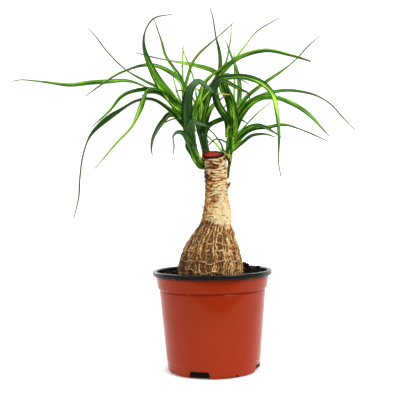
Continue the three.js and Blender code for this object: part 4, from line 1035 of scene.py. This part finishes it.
         (11.2, 373.9), (9.4, 382.3), (10.7, 392), (18, 399.3), (31.9, 401.3), (48, 400.3)),
        (328, 8, 1, (0, -20, -30), (28, 60, 90), (0.3, 0.35), (33, 346.1), (34, 360.1), (31, 375),
         (26, 387.9), (22, 398.7), (19.5, 409.9)),
        (322, 8, 1, (-30, -40), (6, 10), (0.7, 0.4, 0.3), (43, 354), (53, 365), (62, 372)),
        (286, 1.2, 0, (0, 20), (-10, -14), (1.5,), (25, 293.8), (21.6, 296.6), (18.6, 299.8)),
        (288, 1.2, 0, (-10, -30), (-9, -13), (1.5,), (26.9, 294.6), (27.1, 298.3), (27.5, 302)),
        (283, 1.2, 0, (0, 20), (-9, -12), (1.5,), (29.1, 292.6), (26.4, 295.1), (22.9, 295.2)),
    ],
}

# The camera's place in millimetres, from which the leaves are placed, and in metres with its fine shift
EYE = np.array([-4.7, -900, 221.2])
LENS_SPOT = (-0.0041, -0.9, 0.2216)

BLADE_RINGS, TIP_RINGS, TIP_START, BLADE_SPOTS = 38, 8, 0.9, 9
STEM_RINGS, STEM_SPOTS, SHEATH_STEP = 100, 32, 21

# Each stem as rows of x, y, height and radius, and how light it is above and at its foot
STEMS = {
    "left": [
        (-7, -2.5, 278.8, 3.2), (-10.6, -3, 280.4, 5.9), (-15.4, -4, 285.2, 6.6), (-20.6, -4.5, 293.8, 6.3),
        (-24.4, -4.5, 306, 6.4), (-26, -4.5, 322, 6.6), (-29.5, -4.5, 340, 6), (-34, -4.5, 360, 4.4),
        (-35, -4.5, 374, 1.8),
    ],
    "centre": [
        (-2, 15.5, 283, 4.4), (-3, 16, 290, 6.6), (-5, 16.5, 298, 6), (-7.8, 17, 312, 5.6),
        (-10.4, 17, 332, 5.4), (-10, 17, 352, 3.8), (-8.6, 17, 372, 1.5),
    ],
    "right": [
        (24.5, -1, 262, 1), (24.6, -1, 264, 1.8), (25.7, -1, 276, 2.1), (27.1, -1, 285, 2.6),
        (26.4, -1, 291, 4.9), (26.2, -1, 298, 5.6), (28, -1, 307, 5.6), (28.8, -1, 321, 5.4),
        (30.5, -1, 339, 4.8), (31.6, -1, 357, 3.4), (32, -1, 370, 1.5),
    ],
}
STEM_LIGHT = {"left": (-0.1, 0.42), "centre": (-0.2, -0.25), "right": (0.62, 0.35)}


class LeafSettings(bpy.types.PropertyGroup):
    """Sizes and colours of the leafy shoots."""

    thickness: length("Blade thickness", 1.1, "Thickness at the middle of a leaf's root")
    thread: length("Thread width", 2.3, "Width of a dried leaf tip")
    channel: number("Channel", 0.2, "Depth of a leaf's channel over its width", max=0.4, subtype="FACTOR")
    blue_colour: colour("Blue-green", "#6A975F", "Oldest leaves, with a bloom of wax")
    dark_colour: colour("Dark green", "#193509", "Old leaves")
    middle_colour: colour("Middle green", "#336B0D", "Full-grown leaves")
    light_colour: colour("Light green", "#7CBA2E", "Young leaves and leaf bases")
    lime_colour: colour("Lime", "#AEDA4A", "Youngest leaves where the light shines through")
    dry_colour: colour("Dry colour", "#5A5326", "Dried leaf tips")
    scale_colour: colour("Scale colour", "#DFD272", "Papery dead scales at the feet of the stems")


def stem_at(stem, height):
    """The stem's middle at a height."""
    rows = np.array(stem)
    return np.array([np.interp(height, rows[:, 2], rows[:, k]) for k in range(3)])


def blade(leaf, stem, seed, settings):
    """One leaf as rings of points with its marks. Its middle line is the front outline, pushed along the
    line of sight to its depth. Across, it is a channel: the edges are lifted by the channel's depth times
    the distance from the midrib to the power 1.35, and the blade thins to nothing at the edges."""
    root_height, widest, alive, turns, depths, lights, *outline = leaf
    share = np.concatenate([
        np.linspace(0, TIP_START, BLADE_RINGS, endpoint=False), np.linspace(TIP_START, 0.997, TIP_RINGS)
    ])
    root = stem_at(stem, root_height)
    farther = lambda depth: (depth - EYE[1]) / -EYE[1]
    start = EYE + (root - EYE) / farther(root[1])
    seen = along_path([(start[0], start[2]), *outline], share)
    depths = (root[1], *depths)
    depth = through(depths, share * (len(depths) - 1))
    spine = EYE[::2] + (seen - EYE[::2]) * farther(depth)[:, None]
    spine = np.stack([spine[:, 0], depth, spine[:, 1]], axis=-1)
    ahead = unit(np.gradient(spine, axis=0))
    across = unit(np.cross(ahead, EYE - spine))
    turn = np.radians(through(turns, share * (len(turns) - 1)))[:, None]
    edge = across * np.cos(turn) + np.cross(ahead, across) * np.sin(turn)
    face = np.cross(edge, ahead)

    share = share[:, None]
    along = np.minimum(1, share / (alive or 1))
    base = 1 - smooth(0.02, 0.16, share)
    width = 1.2 * widest * (0.86 + 0.14 * smooth(0, 0.2, along) + 0.25 * base) * (1 - along**3)
    thread = settings.thread / MM * (1 if alive else 0.45)
    width = np.maximum(thread * (1 - 0.45 * smooth(0.85, 1, share)), width)
    u = np.concatenate([np.linspace(-1, 1, BLADE_SPOTS), np.linspace(1, -1, BLADE_SPOTS)[1:-1]])
    side = np.concatenate([np.ones(BLADE_SPOTS), -np.ones(BLADE_SPOTS - 2)])
    lift = (settings.channel + 0.16 * base) * width * (np.abs(u) ** 1.35 - 0.5)
    thick = np.maximum(settings.thickness / MM * (1 - 0.5 * share), 0.75 * np.minimum(width, thread))
    thick = thick * (1 - np.abs(u) ** 3) / 2
    ribs = 0.1 * np.cos(u * 9.4) * np.minimum(1, width / 6)
    wave = 0.035 * width * np.abs(u) * np.sin(share * 21 + 3 * np.sign(u) + seed)
    height = lift + side * (thick + ribs * thick) + wave
    grid = spine[:, None] + edge[:, None] * (width / 2 * u)[..., None] + face[:, None] * height[..., None]
    return grid, {
        "across": u[None],
        "share": share,
        # Painted light from above: the upper half of each blade is lighter and the lower half darker.
        "light": np.interp(share, np.linspace(0, 1, len(lights)), lights) + 0.25 * edge[:, 2:] * u,
        "dry": smooth(min(0.86, alive - 0.16), 1, share) if alive else 1,
        "number": seed,
    }


def sheathed_stem(name, seed):
    """Rings of a stem wrapped in old leaf bases, with its marks. Each base swells upwards and steps in under
    the next, and its edge climbs round the stem, so the radius grows with the fraction of the height over
    the spacing plus the angle from the base's back. The right stem's foot is a bare ringed shoot."""
    rows = np.asarray(STEMS[name], float)
    steps = np.linspace(0, len(rows) - 1, STEM_RINGS)
    line = np.stack([through(rows[:, k], steps) for k in range(4)], axis=-1)
    turn = circle(STEM_SPOTS)[0]
    height = line[:, 2:3] + 0 * turn
    layer = height / SHEATH_STEP + seed
    back = np.abs(((turn + 2.4 * np.floor(layer)) / np.pi) % 2 - 1)
    phase = layer + 0.55 * back
    fold = phase - np.floor(phase)
    middle = line[:, None, :3]
    thick = np.minimum(1, line[:, 3:4] / 5)
    grid = middle + (rod(line, STEM_SPOTS) - middle) * (1 + thick * 0.1 * (fold - 0.5))[..., None]
    bare = smooth(281, 277, height) * (name == "right")
    ring = bell(height - 275, 1.2) * bare
    spots = smooth(0.66, 0.78, noise(turn * 2.6 / np.pi, height / 2.6, 71, 128))
    spots = spots * smooth(300, 290, height) * (name == "left")
    light, foot = STEM_LIGHT[name]
    tone = light + (foot - light) * smooth(300, 284, height)
    dry_foot = 0.28 * smooth(304, 292, height) * (name == "left")
    return grid, {
        "across": 0.85 * np.sin(turn)[None],
        "share": height / 120,
        "light": tone - 0.35 * smooth(0.9, 0.98, fold) * (1 - bare) - 0.5 * ring + 0.12 * (1 - fold),
        "dry": (0.25 + smooth(269, 264, height)) * bare + dry_foot + 0.5 * spots,
        "number": 90 + seed + np.floor(phase) * (1 - bare),
    }


class PALM_OT_shoots(bpy.types.Operator):
    """Grow the three leafy shoots: stems wrapped in leaf bases, and channelled strap leaves"""

    bl_idname = "palm.shoots"
    bl_label = "Leafy shoots"

    def execute(self, context):
        settings = context.scene.palm_leaves
        green = living_leaf(settings)
        for shoot, (name, leaves) in enumerate(LEAVES.items()):
            stem = Shell()
            grid, marks = sheathed_stem(name, 0.4 * shoot)
            stem.add(grid, **marks)
            add_piece(f"stem_{name}", stem, [green], [f"shoot_{name}"])
            blades = Shell()
            for row, leaf in enumerate(leaves):
                grid, marks = blade(leaf, STEMS[name], row + 31 * shoot, settings)
                blades.add(grid, **marks)
            add_piece(f"leaves_{name}", blades, [green], [f"shoot_{name}"])
        return {"FINISHED"}


def living_leaf(settings):
    """Strap leaf: a tough waxy skin with lengthwise veins and lighter and darker strips, lime at its base,
    darker along its edges, with a papery brown tip. Its light mark also carries painted light: each blade's
    upper half is lighter, and a few leaves have painted highlights. Veins are drawn 0.7 mm apart, coarser
    than life."""
    material, node = new_material("living_leaf")
    across, share, light, dry, seed = (
        node("Attribute", attribute_name=name, output="Fac")
        for name in ("across", "share", "light", "dry", "number")
    )
    spot = node("CombineXYZ", across, share, seed)

    def strips(cells, along, strength):
        """Noise drawn out along the leaf, so many cells across it, as a rise or fall around 0."""
        drawn = node("Mapping", spot, Scale=(cells, along, 7.3))
        pattern = node("TexNoise", drawn, Scale=1, Detail=2, Roughness=0.6)
        return node("Math", pattern, strength, -strength / 2, operation="MULTIPLY_ADD")

    def total(first, *others):
        """The sum of all."""
        for other in others:
            first = node("Math", first, other, operation="ADD")
        return first

    broad, fine, vein = strips(1.7, 2.2, 1.7), strips(6, 3, 2.2), strips(3.3, 2, 4.4)
    lined = node("MapRange", vein, From_Min=-0.6, From_Max=0.6, To_Min=-0.2, To_Max=0.2)
    young = node("MapRange", share, From_Max=0.2, To_Min=0.22, To_Max=0.03)
    blotch = node("TexNoise", node("TexCoord", output="Object"), Scale=60, Detail=3, Roughness=0.6)
    patch = node("Math", blotch, 0.6, -0.2, operation="MULTIPLY_ADD")
    rim = node("Math", across, operation="ABSOLUTE")
    edge = node("MapRange", rim, From_Min=0.55, To_Max=-0.17)
    green = node("ValToRGB", total(light, broad, fine, young, patch, edge, lined),
                 stops=[(0.0, "#142B08"), (0.14, settings.dark_colour), (0.5, settings.middle_colour),
                        (0.82, settings.light_colour), (1.0, settings.lime_colour)])
    bloom = node("MapRange", total(light, broad, fine), From_Min=0.1, From_Max=-0.9)
    waxy = node("Mix", bloom, green, settings.blue_colour, **BLENDED)
    veined = node("MapRange", vein, From_Min=-0.5, From_Max=0.5, To_Min=0.71, To_Max=1.52)
    streaked = node("Mix", 1, waxy, veined, **MULTIPLIED)
    turned = node("MapRange", rim, From_Min=0.5, To_Min=1, To_Max=0.68)
    shaded = node("Mix", 1, streaked, turned, **MULTIPLIED)
    cream = node("MapRange", total(light, fine), From_Min=0.6, From_Max=1.1)
    papery = node("Mix", cream, settings.dry_colour, settings.scale_colour, **BLENDED)
    dried = node("MapRange", total(dry, fine), From_Min=0.35, From_Max=0.75)
    skin = node("Mix", dried, shaded, papery, **BLENDED)
    ribs = node("Math", node("Math", across, 42, operation="MULTIPLY"), operation="SINE")
    bump = node("Bump", Strength=0.25, Distance=0.0003, Height=ribs)
    node("OutputMaterial", node("BsdfPrincipled", skin, Roughness=0.38, IOR=1.17, Normal=bump))
    return material


# Studio

# The paper's flat part, the radius of its bend behind the pot and the top of its wall, in metres, how finely
# it is drawn, its gap under the pot, and the camera and the room
FLOOR_REACH, FLOOR_BEND, WALL_TOP = 2.2, 0.9, 4.0
FLOOR_SPOTS, FLOOR_RINGS, BEND_RINGS = 96, 30, 12
FLOOR_GAP = 0.0004
SENSOR_WIDTH, CAMERA_ROLL, ROOM_LIGHT = 36, -1.05, 0.4


class StageSettings(bpy.types.PropertyGroup):
    """Floor, light and camera."""

    floor_colour: colour("Floor colour", "#F4F4F2", "Pale paper under the pot")
    key_power: number("Key power", 22, "Power of the overhead soft box", unit="POWER")
    fill_power: number("Fill power", 4, "Power of the small soft box on the left", unit="POWER")
    rim_power: number("Rim power", 5, "Power of the small lamp behind on the left", unit="POWER")
    lens: number("Lens", 56.15, "Focal length on a 36 mm sensor", min=10, subtype="DISTANCE_CAMERA")


class PALM_OT_stage(bpy.types.Operator):
    """Set the pale floor, the soft studio light and the camera"""

    bl_idname = "palm.stage"
    bl_label = "Studio"

    def execute(self, context):
        settings = context.scene.palm_stage
        scene = context.scene
        bend = np.linspace(0, np.pi / 2, BEND_RINGS)[1:]
        reach = np.concatenate([
            np.linspace(0.02, FLOOR_REACH, FLOOR_RINGS), FLOOR_REACH + FLOOR_BEND * np.sin(bend),
            [FLOOR_REACH + FLOOR_BEND],
        ])
        climb = np.concatenate([np.zeros(FLOOR_RINGS), FLOOR_BEND - FLOOR_BEND * np.cos(bend), [WALL_TOP]])
        turn, spin = circle(FLOOR_SPOTS)
        flat = reach[:, None, None] * spin
        behind = smooth(0.3, 0.6, np.sin(turn))
        grid = np.concatenate([flat, (climb[:, None] * behind - FLOOR_GAP)[..., None]], axis=-1)
        mesh = bpy.data.meshes.new("paper_floor")
        faces = grid_faces(*grid.shape[:2]).tolist() + [list(range(FLOOR_SPOTS))]
        mesh.from_pydata(grid.reshape(-1, 3).tolist(), [], faces)
        mesh.materials.append(matt_paper(settings))
        mesh.polygons.foreach_set("use_smooth", np.ones(len(mesh.polygons), bool))
        floor = bpy.data.objects.new("paper_floor", mesh)
        scene.collection.objects.link(floor)
        floor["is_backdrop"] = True

        lamps = [
            ("overhead_box", settings.key_power, (0.8, -0.75, 1.35), 0.3, 0.7),
            ("left_box", settings.fill_power, (-1.2, -0.9, 1.0), 0.2, 0.3),
            ("rim_box", settings.rim_power, (-0.86, 1.35, 0.7), 0.15, 0.2),
        ]
        for name, power, spot, aim_height, size in lamps:
            lamp = bpy.data.lights.new(name, "AREA")
            lamp.shape, lamp.size, lamp.energy = "SQUARE", size, power
            aim = (Vector((0, 0, aim_height)) - Vector(spot)).to_track_quat("-Z", "Y")
            holder = bpy.data.objects.new(name, lamp)
            holder.matrix_world = Matrix.Translation(spot) @ aim.to_matrix().to_4x4()
            scene.collection.objects.link(holder)
        scene.world = bpy.data.worlds.new("white_room")
        scene.world.use_nodes = True
        room = scene.world.node_tree.nodes["Background"].inputs
        room["Color"].default_value, room["Strength"].default_value = (1, 1, 1, 1), ROOM_LIGHT

        camera = bpy.data.cameras.new("camera")
        camera.lens, camera.sensor_width = settings.lens, SENSOR_WIDTH
        scene.camera = bpy.data.objects.new("camera", camera)
        level = Matrix.Translation(LENS_SPOT) @ Matrix.Rotation(math.pi / 2, 4, "X")
        scene.camera.matrix_world = level @ Matrix.Rotation(math.radians(CAMERA_ROLL), 4, "Z")
        scene.collection.objects.link(scene.camera)
        scene.view_settings.view_transform = "Standard"
        return {"FINISHED"}


def matt_paper(settings):
    """Coated background paper, rolled: matt, near-white and even, with a faint tooth. It glows a little,
    except under the pot, where the missing glow leaves a painted shadow round the foot, and near the camera,
    where it is grey and mirrors as a dark V in the pot's gloss."""
    material, node = new_material("matt_background_paper")
    place = node("TexCoord", output="Object")
    tooth = node("TexNoise", place, Scale=900, Detail=2)
    bump = node("Bump", Strength=0.05, Distance=0.0002, Height=tooth)
    depth = node("VectorMath", place, (-0.2, 0.98, 0), operation="DOT_PRODUCT")
    near = node("MapRange", depth, From_Min=-0.33, From_Max=-0.29)
    # Painted shadow: no glow within the pot's foot, rising to full glow just outside it.
    clear = node("MapRange", node("VectorMath", place, operation="LENGTH"),
                 From_Min=0.056, From_Max=0.075, To_Max=0.55)
    glow = node("Math", near, clear, operation="MULTIPLY")
    fade = node("ValToRGB", near, stops=[(0.0, "#8C8C8B"), (1.0, settings.floor_colour)])
    paper = node("BsdfPrincipled", fade, Roughness=0.8, Normal=bump, Emission_Color="#FFFFFF",
                 Emission_Strength=glow)
    node("OutputMaterial", paper)
    return material


# Add-on


class VIEW3D_PT_palm(bpy.types.Panel):
    """Lists the pieces of the palm and their settings"""

    bl_label = "Ponytail palm"
    bl_space_type = "VIEW_3D"
    bl_region_type = "UI"
    bl_category = "Palm"

    def draw(self, context):
        for group, _, operator in PIECES:
            box = self.layout.box()
            box.operator(operator.bl_idname)
            settings = getattr(context.scene, group)
            for name in settings.__annotations__:
                box.prop(settings, name)


PIECES = (
    ("palm_stage", StageSettings, PALM_OT_stage),
    ("palm_pot", PotSettings, PALM_OT_pot),
    ("palm_soil", SoilSettings, PALM_OT_soil),
    ("palm_trunk", TrunkSettings, PALM_OT_trunk),
    ("palm_wax", WaxSettings, PALM_OT_wax),
    ("palm_leaves", LeafSettings, PALM_OT_shoots),
)


def register():
    for group, settings, operator in PIECES:
        bpy.utils.register_class(settings)
        setattr(bpy.types.Scene, group, bpy.props.PointerProperty(type=settings))
        bpy.utils.register_class(operator)
    bpy.utils.register_class(VIEW3D_PT_palm)


def unregister():
    bpy.utils.unregister_class(VIEW3D_PT_palm)
    for group, settings, operator in reversed(PIECES):
        bpy.utils.unregister_class(operator)
        delattr(bpy.types.Scene, group)
        bpy.utils.unregister_class(settings)


def main():
    """Builds every piece in order."""
    register()
    bpy.ops.palm.stage()
    bpy.ops.palm.pot()
    bpy.ops.palm.soil()
    bpy.ops.palm.trunk()
    bpy.ops.palm.wax()
    bpy.ops.palm.shoots()
    boxes = {"cad": CAD_BOX, "visual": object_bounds()}
    {name: [list(corner) for corner in box] for name, box in boxes.items()}


if __name__ == "__main__":
    main()
